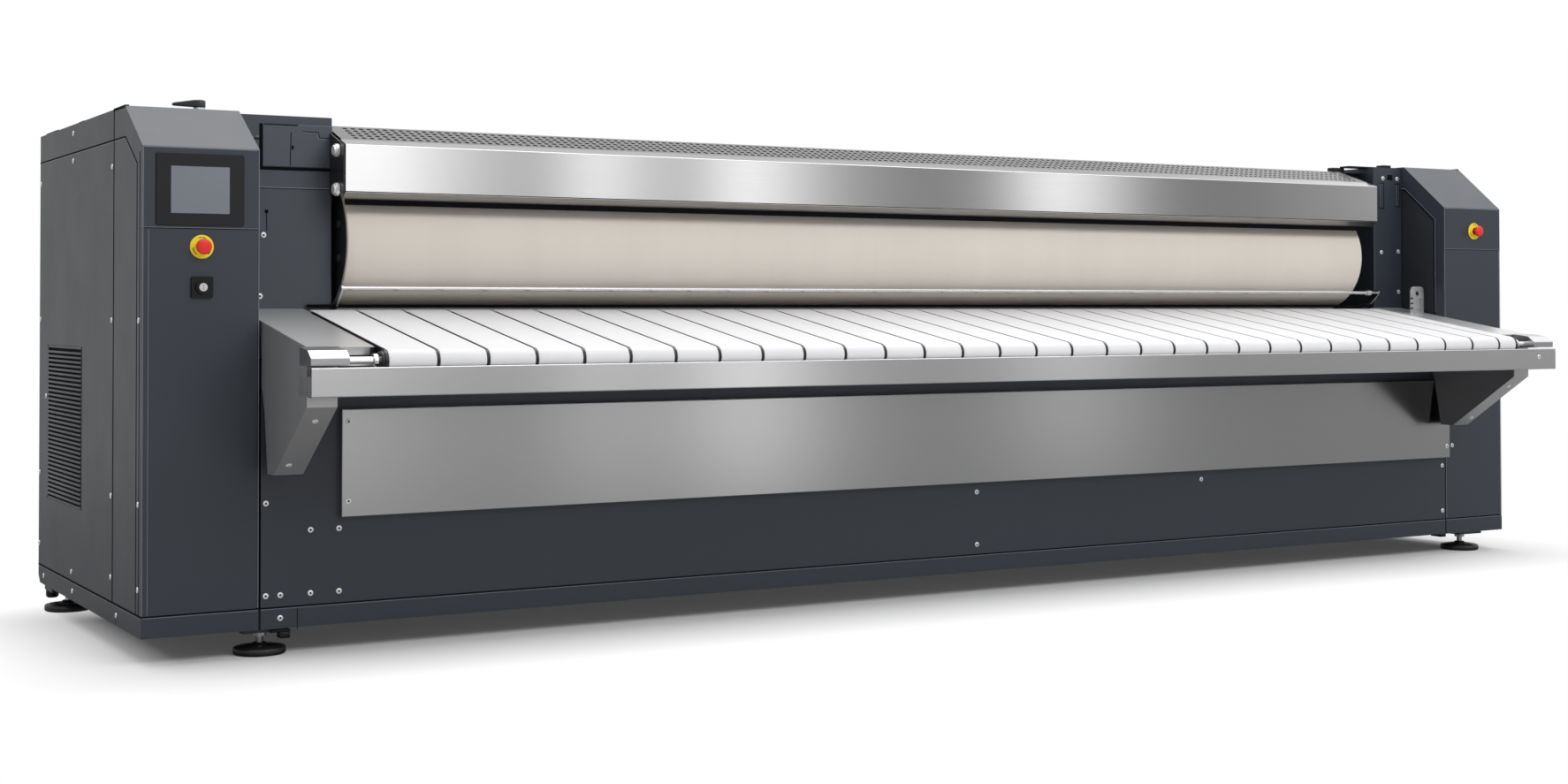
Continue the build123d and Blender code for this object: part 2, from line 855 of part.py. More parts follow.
def bearings():
    """Flanged bearings of the roll and of the feed belts' drive roller."""
    pieces = []
    for side in (-1, 1):
        x0, x1 = side * plate_outer, side * (plate_outer + bearing_depth)
        y, z = roll_centre
        reach = bearing_size / 2
        flange = block((x0, (x0 + x1) / 2), (y - reach, y + reach), (z - reach, z + reach))
        flange = fillet(flange.edges().filter_by(Axis.X), reach / 4)
        housing = flange + rod_x(roll_centre, x0, x1, reach * 0.8)
        pieces.append(housing - rod_x(roll_centre, x0 - side, x1 + side, journal_radius + running))
        x1 = side * (plate_outer + feed_bearing_depth)
        y, z = drive_centre
        reach = feed_bearing_size / 2
        flange = block((x0, x1), (y - reach, y + reach), (z - reach, z + reach))
        pieces.append(flange - rod_x(drive_centre, x0 - side, x1 + side, drive_shaft_radius + running))
    return pieces



def pulley(centre, radius, bore):
    """Flat pulley with a recessed web on each side."""
    wheel = rod_x(centre, pulley_start, pulley_end, radius)
    for x0, x1 in ((pulley_start, pulley_start + pulley_recess), (pulley_end - pulley_recess, pulley_end)):
        wheel = wheel - rod_x(centre, x0, x1, radius - 10, bore + 12)
    return wheel


def roll_pulley():
    """Large pulley on the roll's right journal."""
    wheel = pulley(roll_centre, roll_pulley_radius, journal_radius)
    return wheel - rod_x(roll_centre, pulley_start - 1, pulley_end + 1, journal_radius)


def motor_pulley():
    """Small pulley with the gearbox's output shaft."""
    wheel = pulley(motor_centre, motor_pulley_radius, output_radius)
    return wheel + rod_x(motor_centre, pulley_end, gearbox_start + output_grip, output_radius)


def drive_belt():
    """Belt from the gearbox to the roll."""
    return belt_loop(roll_centre, roll_pulley_radius, motor_centre, motor_pulley_radius, belt_thickness,
                     pulley_start + 1, pulley_end - 1)


def gearmotor():
    """Gearbox and motor on a shelf that is bolted to the right side plate."""
    y, z = motor_centre
    x0, x1 = gearbox_start, gearbox_start + gearbox_width
    box = block((x0, x1), (y - gearbox_depth / 2, y + gearbox_depth / 2),
                (z - gearbox_height / 2, z + gearbox_height / 2))
    box = fillet(box.edges().filter_by(Axis.X), 12)
    motor = rod_y((x0 + x1) / 2, z, y + gearbox_depth / 2, y + gearbox_depth / 2 + motor_length,
                  gearbox_width / 2)
    box = box + motor - rod_x(motor_centre, x0 - 1, x0 + output_grip + 1, output_radius + running)
    shelf_top = z - gearbox_height / 2
    shelf = block((plate_outer, x1), (y - shelf_margin, y + gearbox_depth / 2 + motor_length / 2),
                  (shelf_top - shelf_thickness, shelf_top))
    return [box, shelf]


def feed_gearmotor():
    """Small gearmotor on the end of the feed belts' drive roller."""
    y, z = drive_centre
    x0 = plate_outer + feed_bearing_depth
    box = block((x0, x0 + feed_box_width), (y - feed_box_half_depth, y + feed_box_half_depth),
                (z - feed_box_half_height, z + feed_box_half_height))
    box = fillet(box.edges().filter_by(Axis.X), feed_box_corner)
    motor = rod_x((y, z - feed_motor_drop), x0, x0 + feed_motor_length, feed_motor_radius)
    return box + motor - rod_x(drive_centre, x0 - 1, x0 + feed_shaft_grip + 1, drive_shaft_radius + running)



# ---- Chest ----
def chest_plate():
    """Polished curved plate that the roll presses the linen against."""
    return sector(roll_centre, chest_radius, chest_back, chest_lip_angle, chest_end_angle,
                  roll_left + chest_inset, roll_right - chest_inset)


def heater_angles():
    """Places of the heating rods round the chest."""
    step = (heater_last_angle - heater_first_angle) / (heater_count - 1)
    return [heater_first_angle + index * step for index in range(heater_count)]


def chest_heaters():
    """Straight heating rods behind the chest."""
    return [rod_x(polar(roll_centre, heater_ring, angle), roll_left + heater_tail, roll_right - heater_tail,
                  heater_radius) for angle in heater_angles()]


def heater_notch(angle, x0, x1):
    """Open notch in a rib, round one heating rod."""
    room = heater_radius + heater_clearance
    half_turn = math.degrees(notch_share * room / heater_ring)
    mouth = sector(roll_centre, chest_back - 1, heater_ring, angle - half_turn, angle + half_turn, x0, x1)
    return mouth + rod_x(polar(roll_centre, heater_ring, angle), x0, x1, room)


def chest_carrier():
    """Ribs behind the chest, the shaft that they swing on and the jacket round them."""
    first = roll_left + chest_inset + rib_thickness
    last = roll_right - chest_inset - 2 * rib_thickness
    pieces = []
    for index in range(rib_count):
        x = first + index * (last - first) / (rib_count - 1)
        rib = sector(roll_centre, chest_back, rib_reach, chest_lip_angle, rib_end_angle, x, x + rib_thickness)
        arm_top = polar(roll_centre, rib_reach - chest_lug_radius / 2, jacket_start_angle)
        arm_side = polar(roll_centre, rib_reach - chest_lug_radius / 2, chest_lip_angle)
        lug = [(chest_pivot[0] - chest_lug_radius * 0.6, chest_pivot[1]), arm_side, arm_top,
               (chest_pivot[0] + chest_lug_radius, chest_pivot[1])]
        rib = rib + prism(lug, x, x + rib_thickness)
        rib = rib + rod_x(chest_pivot, x, x + rib_thickness, chest_lug_radius)
        for angle in heater_angles():
            rib = rib - heater_notch(angle, x - 1, x + rib_thickness + 1)
        pieces.append(rib - rod_x(chest_pivot, x - 1, x + rib_thickness + 1, chest_shaft_radius))
    pieces.append(rod_x(chest_pivot, -plate_outer, plate_outer, chest_shaft_radius))
    pieces.append(sector(roll_centre, rib_reach, rib_reach + jacket_thickness, jacket_start_angle,
                         rib_end_angle, first, last + rib_thickness))
    return pieces


# ---- Feed table ----
def feed_belts():
    """Narrow belts side by side, the last one cut narrower."""
    belts = []
    for index in range(full_belts + 1):
        x = first_belt_x + index * table_belt_pitch
        width = last_belt_width if index == full_belts else table_belt_width
        belts.append(belt_loop(nose_centre, nose_roller_radius, drive_centre, drive_roller_radius,
                               table_belt_thickness, x, x + width))
    return belts


def roller(centre, radius, tail, shaft_radius, shaft_left, shaft_right):
    """Tube inside the belts with a plug and a shaft at each end; the tail shows beside the belts."""
    left, right = first_belt_x - tail, belts_right + tail
    bore = radius - roller_wall
    tube = rod_x(centre, left, right, radius, bore)
    plugs = []
    for end, inward, tip in ((left, left + roller_plug, shaft_left), (right, right - roller_plug, shaft_right)):
        plugs.append(rod_x(centre, end, inward, bore) + rod_x(centre, end, tip, shaft_radius))
    return [tube] + plugs


def table_bed():
    """Sheet that holds up the belts' upper run, inside their loops."""
    lift = cover_drop + sheet
    path = [(front + bed_front, belt_top(bed_front) - lift - bed_flange),
            (front + bed_front, belt_top(bed_front) - lift), (front + bed_back, belt_top(bed_back) - lift),
            (front + bed_back, belt_top(bed_back) - lift - bed_flange)]
    reach = bracket_half - bracket_width
    return folded(path, -reach, reach)


def table_beam():
    """Beam behind the table's front panel, which joins the brackets."""
    y0 = table_front + sheet + soft_gap
    z0 = front_panel_bottom + sheet + soft_gap
    beam = block((-front_panel_half, front_panel_half), (y0, front + bracket_front), (z0, z0 + beam_height))
    return drilled(beam, table_points, (0, -1, 0))


def table_front_panel():
    """Bright front rail of the table."""
    path = [(table_front + front_flange, front_panel_top), (table_front, front_panel_top),
            (table_front, front_panel_bottom), (table_front + beam_depth / 3, front_panel_bottom)]
    panel = folded(path, -front_panel_half, front_panel_half, radius=2.2, side=Side.LEFT)
    return drilled(panel, table_points, (0, -1, 0))


def table_side_cover(x0, x1):
    """Bright top sheet beside the belts."""
    y0, y1 = bracket_front, post_front - seam
    outline = [(front + y0, cover_top(y0) - sheet), (front + y0, cover_top(y0)), (front + y1, cover_top(y1)),
               (front + y1, cover_top(y1) - sheet)]
    return prism(outline, x0, x1)


def table_bracket(side):
    """Folded bracket that carries one end of the table, open at the back."""
    def under_cover(y, drop=0):
        return cover_top(y) - sheet - drop

    outline = [(front + bracket_toe_back, bracket_foot), (front + bracket_toe_front, bracket_foot),
               (front + bracket_front, bracket_knee), (front + bracket_front, under_cover(bracket_front)),
               (front + bracket_back, under_cover(bracket_back)), (front, lower_panel_top + sheet),
               (front, bracket_root), (front - apron_depth - 1, apron_top + 1)]
    wall = bracket_sheet
    hollow = [(front + bracket_toe_back + wall, bracket_foot + wall),
              (front + bracket_toe_front + wall, bracket_foot + wall),
              (front + bracket_front + wall, bracket_knee + wall),
              (front + bracket_front + wall, under_cover(bracket_front + wall, wall)),
              (front + bracket_back + wall, under_cover(bracket_back, wall)),
              (front + wall, lower_panel_top + sheet), (front + wall, bracket_root),
              (front - apron_depth - 1 + wall, apron_top + 1)]
    outer = side * bracket_half
    shell = prism(outline, outer, outer - side * bracket_width)
    shell = shell - prism(hollow, outer - side * wall, outer - side * (bracket_width - wall))
    return drilled(shell, bracket_points(side), bracket_normal())


def bracket_normal():
    """Direction that the bracket's sloping face looks in."""
    run = bracket_toe_front - bracket_front
    drop = bracket_knee - bracket_foot
    length = math.hypot(run, drop)
    return (0, -drop / length, -run / length)


def bracket_points(side):
    """Screws on the bracket's sloping face."""
    places = []
    for along, across in ((0.2, 0.5), (0.85, 0.35)):
        y = front + bracket_front + along * (bracket_toe_front - bracket_front)
        z = bracket_knee + along * (bracket_foot - bracket_knee)
        places.append((side * (bracket_half - across * bracket_width), y, z))
    return places


def nose_cap(side):
    """Closed cap that holds the nose roller's shaft."""
    top_back = cover_top(bracket_front) + 1
    outline = [(front + bracket_front, cap_bottom), (front + cap_front, cap_bottom),
               (front + cap_front, nose_z + 8), (front + nose_y - 8, nose_z + nose_roller_radius + 2),
               (front + bracket_front, top_back)]
    cap = prism(outline, side * cap_outer, side * cap_inner)
    front_edges = cap.edges().filter_by(Axis.X).sort_by(Axis.Y)[0:3]
    cap = fillet(front_edges, cap_round / 2)
    return cap - rod_x(nose_centre, side * (cap_inner - 1), side * (cap_inner + nose_shaft_grip + 1),
                       nose_shaft_radius + running)


nose_shaft_grip = 50


# ---- Guard bar ----
def guard_crank(x0, x1, pin_end):
    """Crank at one end of the guard bar, with the pin it swings on."""
    bar = (front + guard_y, guard_z)
    pivot = (front + guard_pivot_y, guard_pivot_z)
    reach = crank_width / 2
    length = math.hypot(pivot[0] - bar[0], pivot[1] - bar[1])
    across = ((pivot[1] - bar[1]) / length * reach, -(pivot[0] - bar[0]) / length * reach)
    outline = [(bar[0] + across[0], bar[1] + across[1]), (pivot[0] + across[0], pivot[1] + across[1]),
               (pivot[0] - across[0], pivot[1] - across[1]), (bar[0] - across[0], bar[1] - across[1])]
    crank = prism(outline, x0, x1) + rod_x(bar, x0, x1, reach) + rod_x(pivot, x0, x1, reach)
    return crank + rod_x(pivot, x1, pin_end, guard_pin_radius)


def guard_bar():
    """Bright bar in front of the nip, with a crank at each end."""
    centre = (front + guard_y, guard_z)
    left_face = post_left_x + crank_gap + crank_thickness
    bar = rod_x(centre, left_face, guard_boss_x, guard_radius)
    bar = bar + rod_x(centre, guard_boss_x, guard_boss_x + guard_boss_length, guard_boss_radius)
    bar = bar + rod_x(centre, guard_boss_x + guard_boss_length, crank_right_x, guard_neck_radius)
    left = guard_crank(left_face, left_face - crank_thickness, post_left_x - 2 * sheet)
    right = guard_crank(crank_right_x, crank_right_x + crank_thickness, post_right_x + 2 * sheet)
    return [bar, left, right]


# ---- Controls ----
def touchscreen_bezel():
    """Black frame of the touch screen with the housing behind it."""
    x0 = screen_left - half
    x1 = x0 + screen_width
    z0, z1 = screen_bottom, screen_bottom + screen_height
    frame = block((x0, x1), (front - screen_rise, front), (z0, z1))
    frame = fillet(frame.edges().filter_by(Axis.Y), screen_corner)
    frame = fillet(frame.edges().group_by(Axis.Y)[0], 1.2)
    housing = block((x0 + screen_margin, x1 - screen_margin), (front, front + screen_housing_depth),
                    (z0 + screen_margin, z1 - screen_margin))
    return frame + housing - glass_block()


def glass_block():
    """Space of the touch screen's glass."""
    x0 = glass_left - half
    return block((x0, x0 + glass_width), (front - screen_rise, front - screen_rise + glass_thickness),
                 (glass_bottom, glass_bottom + glass_height))


def screen_window():
    """Opening in the left hood that the screen's housing goes through."""
    gap = seam
    x0 = screen_left - half + screen_margin - gap
    x1 = screen_left - half + screen_width - screen_margin + gap
    return block((x0, x1), (front - 1, front + sheet + 1),
                 (screen_bottom + screen_margin - gap, screen_bottom + screen_height - screen_margin + gap))


estop_places = ((switch_x - half, estop_left_z), (inner + switch_x + estop_right_shift, estop_right_z))


def estop_collar(x, z):
    """Yellow disc and neck of an emergency stop, with its barrel through the panel."""
    disc = rod_y(x, z, front - estop_disc_thickness, front, estop_disc_radius)
    neck = rod_y(x, z, front - estop_neck_height, front - estop_disc_thickness, estop_neck_radius)
    barrel = rod_y(x, z, front, front + estop_barrel_length, estop_barrel_radius)
    bore = rod_y(x, z, front - estop_neck_height - 1, front + estop_barrel_length + 1,
                 estop_stem_radius + running)
    return disc + neck + barrel - bore


def estop_stem(x, z):
    """Plunger of an emergency stop."""
    return rod_y(x, z, front - estop_head_start, front + estop_barrel_length - 10, estop_stem_radius)


def estop_head(x, z):
    """Red mushroom head on the plunger."""
    head = rod_y(x, z, front - estop_head_start - estop_head_length, front - estop_head_start,
                 estop_head_radius)
    return fillet(head.edges().group_by(Axis.Y)[0], estop_head_round)


def panel_hole(x, z, radius):
    """Round hole through a front panel."""
    return rod_y(x, z, front - 1, front + sheet + 1, radius + shank_clearance)


def key_switch_body():
    """Square black plate and ring of the key switch, with its barrel."""
    x, z = switch_x - half, key_z
    reach = key_plate / 2
    plate = block((x - reach, x + reach), (front - key_plate_thickness, front), (z - reach, z + reach))
    plate = fillet(plate.edges().filter_by(Axis.Y), 4)
    plate = plate + rod_y(x, z, front - key_ring_height, front - key_plate_thickness, key_ring_radius)
    plate = plate + rod_y(x, z, front, front + key_depth, key_ring_radius - 2)
    return plate - rod_y(x, z, front - key_ring_height - 1, front + key_depth + 1, key_rotor_radius + running)


def key_switch_rotor():
    """Bright lock of the key switch, with its key slot."""
    x, z = switch_x - half, key_z
    rotor = rod_y(x, z, front - key_rotor_rise, front + key_depth - 4, key_rotor_radius)
    slot = block((x - key_slot / 2, x + key_slot / 2), (front - key_rotor_rise - 1, front - key_rotor_rise + 6),
                 (z - key_rotor_radius * 0.6, z + key_rotor_radius * 0.6))
    return rotor - slot


def electrical_box():
    """Closed box for the drives and contactors, with its lid, on the left side plate."""
    y0, y1 = front + box_front, front + box_back
    z0, z1 = box_bottom, box_top
    x1 = -plate_outer
    x0 = x1 - box_depth
    case = block((x0, x1), (y0, y1), (z0, z1)) - block((x0 - 1, x1 - sheet), (y0 + sheet, y1 - sheet),
                                                       (z0 + sheet, z1 - sheet))
    lid = block((x0 - sheet, x0), (y0, y1), (z0, z1))
    rail = block((x1 - sheet - box_rail_depth, x1 - sheet), (y0 + box_margin, y1 - box_margin),
                 (z0 + 2 * box_margin, z1 - 2 * box_margin))
    return [case, lid, rail]


# ---- Extraction fan ----
def fan_shape(growth):
    """Outside of the fan's housing, or its inside with a negative growth."""
    drum = rod_x(fan_centre, fan_left - growth, fan_right + growth, fan_housing_radius + growth)
    outlet = block((fan_left - growth, fan_right + growth), (fan_centre[0], back - sheet),
                   (fan_z + outlet_start - growth, fan_z + outlet_start + outlet_height + growth))
    return drum + outlet


def fan_housing():
    """Drum with a side inlet and an outlet duct that runs to the back."""
    shell = fan_shape(0) - fan_shape(-sheet)
    shell = shell - rod_x(fan_centre, fan_right - 2 * sheet, fan_right + 1, fan_inlet_radius)
    return shell - rod_x(fan_centre, fan_left - 1, fan_left + 2 * sheet, fan_shaft_radius + 2)


def fan_wheel():
    """Backward wheel of the fan with its hub and shaft."""
    x0 = fan_left + fan_wheel_gap
    x1 = fan_right - fan_wheel_gap
    wheel = rod_x(fan_centre, x0, x0 + fan_disc, fan_wheel_radius)
    wheel = wheel + rod_x(fan_centre, x1 - fan_disc, x1, fan_wheel_radius, fan_inlet_radius)
    blade = block((x0 + fan_disc / 2, x1 - fan_disc / 2), (-fan_blade / 2, fan_blade / 2),
                  (fan_inlet_radius + fan_disc, fan_wheel_radius - fan_disc))
    for index in range(fan_blades):
        turn = Rot(360 * index / fan_blades, 0, 0)
        wheel = wheel + Pos(0, *fan_centre) * turn * blade
    wheel = wheel + rod_x(fan_centre, x0, x0 + fan_hub_length, fan_shaft_radius * 2)
    return wheel + rod_x(fan_centre, fan_left - fan_shaft_grip, x0 + fan_hub_length, fan_shaft_radius)


fan_shaft_grip = 30


def fan_motor():
    """Motor on the fan's housing."""
    motor = rod_x(fan_centre, fan_left, fan_left - fan_motor_length, fan_motor_radius)
    motor = chamfer(motor.edges().group_by(Axis.X)[0], 6)
    return motor - rod_x(fan_centre, fan_left - fan_shaft_grip - 1, fan_left + 1, fan_shaft_radius + running)


def exhaust_spigot():
    """Round flanged spigot on the back for the exhaust hose."""
    tube = rod_y(spigot_x, spigot_z, back, back + spigot_reach, spigot_radius, spigot_radius - sheet)
    return tube + rod_y(spigot_x, spigot_z, back, back + sheet, spigot_flange_radius, spigot_radius - sheet)


# ---- Small pieces ----
def damper_lever():
    """Lever of the exhaust damper on the left cabinet's roof."""
    x, y = lever_x - half, front + lever_y
    z0 = cabinet_height
    z1 = z0 + lever_boss_height
    boss = rod_z(x, y, z0, z1, lever_boss_radius)
    arm = block((x - lever_length, x), (y - lever_width / 2, y + lever_width / 2), (z1, z1 + lever_thickness))
    arm = arm + rod_z(x, y, z1, z1 + lever_thickness, lever_width / 2 + 3)
    return boss + arm + rod_z(x, y, z0 - lever_pin_depth, z0, lever_boss_radius - 3)


lever_pin_depth = 20


def small_brackets():
    """Stop bracket on the table, roof latches, a lug under the base and the supply gland."""
    def on_cover(y, rise=0):
        return cover_top(y) + rise

    y0, y1, y2 = stop_y, stop_y + stop_sheet, stop_y + stop_foot
    stop_top = on_cover(y0, stop_rise)
    outline = [(front + y0, on_cover(y0)), (front + y0, stop_top), (front + y1, stop_top),
               (front + y1, on_cover(y1, stop_sheet)), (front + y2, on_cover(y2, stop_sheet)),
               (front + y2, on_cover(y2))]
    stop = prism(outline, stop_x, stop_x + stop_width)
    upper = stop.edges().filter_by(Axis.Y).group_by(Axis.Z)[-1]
    stop = fillet(upper, stop_corner)
    stop = stop - rod_y(stop_x + stop_width / 2, stop_top - 22, front + y0 - 1, front + y1 + 1, stop_hole)
    roof_y = front + bonnet_slope_back
    roof_latch = block((post_right_x - 120, post_right_x - 70), (roof_y + 8, roof_y + 34),
                       (bonnet_slope_top, bonnet_slope_top + 14))
    post_latch = block((inner - 48, inner - 4), (front + post_front + 22, front + post_front + 72),
                       (post_top, post_top + 14))
    lug = block((inner + 0.5 * rail_width - 24, inner + 0.5 * rail_width), (front + 20, front + 60),
                (base_clearance - 12, base_clearance))
    gland_top = base_clearance
    gland = rod_z(gland_x - half, back - gland_back_inset, gland_top - gland_drop, gland_top, gland_radius,
                  gland_bore)
    gland = chamfer(gland.edges().group_by(Axis.Z)[0].sort_by(SortBy.LENGTH)[-1], 4)
    return [stop, roof_latch, post_latch, lug, gland]


def all_screws():
    """Every panel screw that shows, and the bonnet's bush ends."""
    forward = (0, -1, 0)
    pieces = []
    for points in (lower_points, rail_front_points, apron_points, cabinet_front_points, table_points,
                   post_left_points, post_right_points):
        pieces += [screw(point, forward) for point in points]
    for side in (-1, 1):
        for places in (side_screws, hood_side_screws, rail_side_screws):
            pieces += [screw(point, (side, 0, 0)) for point in side_points(places, side)]
        pieces += [screw(point, bracket_normal()) for point in bracket_points(side)]
    return pieces + bushes()


# ---- Assembly ----
save("base_frame", *base_frame())
save("foot_pads", *foot_pads())
save("foot_stems", *foot_stems())
save("side_plates", *side_plates())

left_front = mirrored(cabinet_front(hood_seam_left))
left_front = left_front - panel_hole(switch_x - half, estop_left_z, estop_barrel_radius)
left_front = left_front - panel_hole(switch_x - half, key_z, key_ring_radius - 2)
left_front = drilled(left_front, side_points(side_screws, -1), (-1, 0, 0))
save("cabinet_front_left", left_front)
right_front = drilled(cabinet_front(hood_seam_right), side_points(side_screws, 1), (1, 0, 0))
save("cabinet_front_right", drilled(right_front, cabinet_front_points, (0, -1, 0)))

left_hood = mirrored(hood(hood_seam_left, slope_start_left)) - screen_window()
left_hood = left_hood - rod_z(lever_x - half, front + lever_y, cabinet_height - 2 * sheet,
                              cabinet_height + 1, lever_boss_radius - 3 + running)
save("hood_left", drilled(left_hood, side_points(hood_side_screws, -1), (-1, 0, 0)))
right_hood = hood(hood_seam_right, slope_start_right)
right_hood = right_hood - panel_hole(*estop_places[1], estop_barrel_radius)
save("hood_right", drilled(right_hood, side_points(hood_side_screws, 1), (1, 0, 0)))

left_panels = side_panel_pair(-1)
grille_opening = block((-half - 1, sheet - half + 1), (front + grille_front, front + grille_back),
                       (grille_bottom, grille_top))
save("side_panels", left_panels[0], left_panels[1] - grille_opening, *side_panel_pair(1))
save("vent_grille", drilled(vent_grille(), side_points(side_screws, -1), (-1, 0, 0)))
spigot_hole = rod_y(spigot_x, spigot_z, back - sheet - 1, back + 1, spigot_radius - sheet)
save("back_panels", back_panel(-1) - spigot_hole, back_panel(1))

save("post_cover_left", drilled(post_cover(-inner, post_left_x), post_left_points, (0, -1, 0)))
save("post_cover_right", drilled(post_cover(inner, post_right_x), post_right_points, (0, -1, 0)))
save("post_access_cover", post_access_cover())

save("lower_front_panel", lower_front_panel())
save("apron_panel", apron_panel())
save("rear_panel", rear_panel())
save("top_cover", top_cover())
save("delivery_chute", delivery_chute())
save("bonnet", bonnet())
save("bonnet_grille", bonnet_grille())
save("bonnet_end_plates", bonnet_end_plate(-1), bonnet_end_plate(1))

save("roll_tube", roll_tube())
save("roll_cover", roll_cover())
save("roll_ends", roll_end(-1), roll_end(1))
save("bearings", *bearings())
save("roll_pulley", roll_pulley())
save("motor_pulley", motor_pulley())
save("drive_belt", drive_belt())
save("gearmotor", *gearmotor())
save("feed_gearmotor", feed_gearmotor())

save("chest_plate", chest_plate())
save("chest_heaters", *chest_heaters())
save("chest_carrier", *chest_carrier())

save("feed_belts", *feed_belts())
nose_reach = cap_inner + nose_shaft_grip
save("nose_roller", *roller(nose_centre, nose_roller_radius, nose_roller_tail, nose_shaft_radius,
                           -nose_reach, nose_reach))
save("feed_drive_roller", *roller(drive_centre, drive_roller_radius, drive_roller_tail, drive_shaft_radius,
                                 -plate_outer - feed_bearing_depth,
                                 plate_outer + feed_bearing_depth + feed_shaft_grip))
save("table_frame", table_bed(), table_beam())
save("table_front_panel", table_front_panel())
save("table_side_covers", table_side_cover(-bracket_half, first_belt_x - belts_side_gap),
     table_side_cover(belts_right + belts_side_gap, bracket_half))
save("table_brackets", table_bracket(-1), table_bracket(1))
save("nose_caps", nose_cap(-1), nose_cap(1))
save("guard_bar", *guard_bar())

save("touchscreen_bezel", touchscreen_bezel())
save("touchscreen_glass", glass_block())
save("estop_collars", *[estop_collar(x, z) for x, z in estop_places])
for name, place in zip(("left", "right"), estop_places):
    save(f"estop_stem_{name}", estop_stem(*place))
    save(f"estop_head_{name}", estop_head(*place))
save("key_switch_body", key_switch_body())
save("key_switch_rotor", key_switch_rotor())
save("electrical_box", *electrical_box())

save("fan_housing", fan_housing())
save("fan_wheel", fan_wheel())
save("fan_motor", fan_motor())
save("exhaust_spigot", exhaust_spigot())

save("damper_lever", damper_lever())
save("small_brackets", *small_brackets())
save("panel_screws", *all_screws())
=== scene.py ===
import json
import math
import random

import bmesh
import bpy
from mathutils import Matrix, Vector


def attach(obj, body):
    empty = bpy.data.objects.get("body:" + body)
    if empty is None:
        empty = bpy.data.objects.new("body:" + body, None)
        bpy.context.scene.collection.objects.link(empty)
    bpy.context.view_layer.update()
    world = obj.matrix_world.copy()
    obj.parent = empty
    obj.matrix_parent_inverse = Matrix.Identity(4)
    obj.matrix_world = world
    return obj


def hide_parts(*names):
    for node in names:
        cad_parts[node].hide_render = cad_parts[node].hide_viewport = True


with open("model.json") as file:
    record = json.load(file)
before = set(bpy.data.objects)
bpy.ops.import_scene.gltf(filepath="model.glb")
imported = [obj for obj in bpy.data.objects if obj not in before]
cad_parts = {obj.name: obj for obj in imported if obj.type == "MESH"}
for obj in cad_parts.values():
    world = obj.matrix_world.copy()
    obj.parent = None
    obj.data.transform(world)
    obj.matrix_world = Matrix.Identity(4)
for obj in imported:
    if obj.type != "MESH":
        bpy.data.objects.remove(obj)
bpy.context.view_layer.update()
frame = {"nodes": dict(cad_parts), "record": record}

NODES = frame["nodes"]
MM = 0.001
MATERIALS = {}           # every material by its name


# ------------ node helpers
class Nodes:
    """Short calls for the nodes of one tree."""

    def __init__(self, tree):
        self.tree = tree

    def node(self, kind, inputs=None, **settings):
        """New node, with its inputs fed."""
        made = self.tree.nodes.new("ShaderNode" + kind)
        for key, value in settings.items():
            setattr(made, key, value)
        for key, value in (inputs or {}).items():
            self.feed(made.inputs[key], value)
        return made

    def feed(self, socket, value):
        """Give an input a number, a colour, another node's output, or a node's first output."""
        if isinstance(value, bpy.types.Node):
            value = value.outputs[0]
        if isinstance(value, bpy.types.NodeSocket):
            self.tree.links.new(value, socket)
        else:
            socket.default_value = value

    def math(self, operation, first, second):
        return self.node("Math", {0: first, 1: second}, operation=operation)

    def blend(self, first, second, share):
        """Sum of two values, in which the first one has a share."""
        return self.math("ADD", self.math("MULTIPLY", first, share),
                         self.math("MULTIPLY", second, 1 - share))

    def remap(self, value, low, high, start=0.0, stop=1.0, **settings):
        """Carry a value between start and stop over to between low and high."""
        return self.node("MapRange", {"Value": value, "From Min": start, "From Max": stop,
                                      "To Min": low, "To Max": high}, **settings)

    def color_between(self, value, first, second):
        mixed = self.node("Mix", {"Factor": value, "A": first, "B": second}, data_type="RGBA")
        return mixed.outputs["Result"]

    def mixed_shader(self, value, first, second):
        return self.node("MixShader", {0: value, 1: first, 2: second})


class Shader(Nodes):
    """A Principled material under construction. Scales of textures count per metre."""

    def __init__(self, name, color, roughness, metallic=0.0, **sockets):
        MATERIALS[name] = material = bpy.data.materials.new(name)
        material.use_nodes = True
        super().__init__(material.node_tree)
        self.bsdf = self.tree.nodes["Principled BSDF"]
        self.set(Base_Color=(*color, 1.0), Roughness=roughness, Metallic=metallic, **sockets)
        self.coords = self.node("TexCoord").outputs["Object"]

    def set(self, **sockets):
        for key, value in sockets.items():
            self.feed(self.bsdf.inputs[key.replace("_", " ")], value)

    def noise(self, scale, detail=3.0, roughness=0.55, stretch=(1, 1, 1)):
        vector = self.node("Mapping", {"Vector": self.coords, "Scale": stretch})
        return self.node("TexNoise", {"Vector": vector, "Scale": scale, "Detail": detail,
                                      "Roughness": roughness}).outputs["Fac"]

    def wave(self, scale, direction, distortion):
        return self.node("TexWave", {"Vector": self.coords, "Scale": scale,
                                     "Distortion": distortion},
                         bands_direction=direction).outputs["Fac"]

    def tint(self, value, dark, light):
        """Base colour between two colours."""
        self.set(Base_Color=self.color_between(value, (*dark, 1.0), (*light, 1.0)))

    def vary(self, value, color, down, up):
        """Base colour between a darker and a lighter tone of one colour."""
        self.tint(value, *(tuple(min(1.0, c * factor) for c in color) for factor in (down, up)))

    def rough(self, value, low, high):
        self.set(Roughness=self.remap(value, low, high))

    def bump(self, height, distance, strength):
        """Relief in metres, over any relief that is there."""
        normal = self.bsdf.inputs["Normal"]
        made = self.node("Bump", {"Height": height, "Distance": distance, "Strength": strength})
        if normal.is_linked:
            self.feed(made.inputs["Normal"], normal.links[0].from_socket)
        self.set(Normal=made)


# ------------ materials
LONG_GRAIN = {"X": (1.5, 420, 420), "Y": (420, 1.5, 420)}      # noise drawn out along an axis
TURNED_GRAIN = (900, 4, 4)                                     # fine rings round the X axis


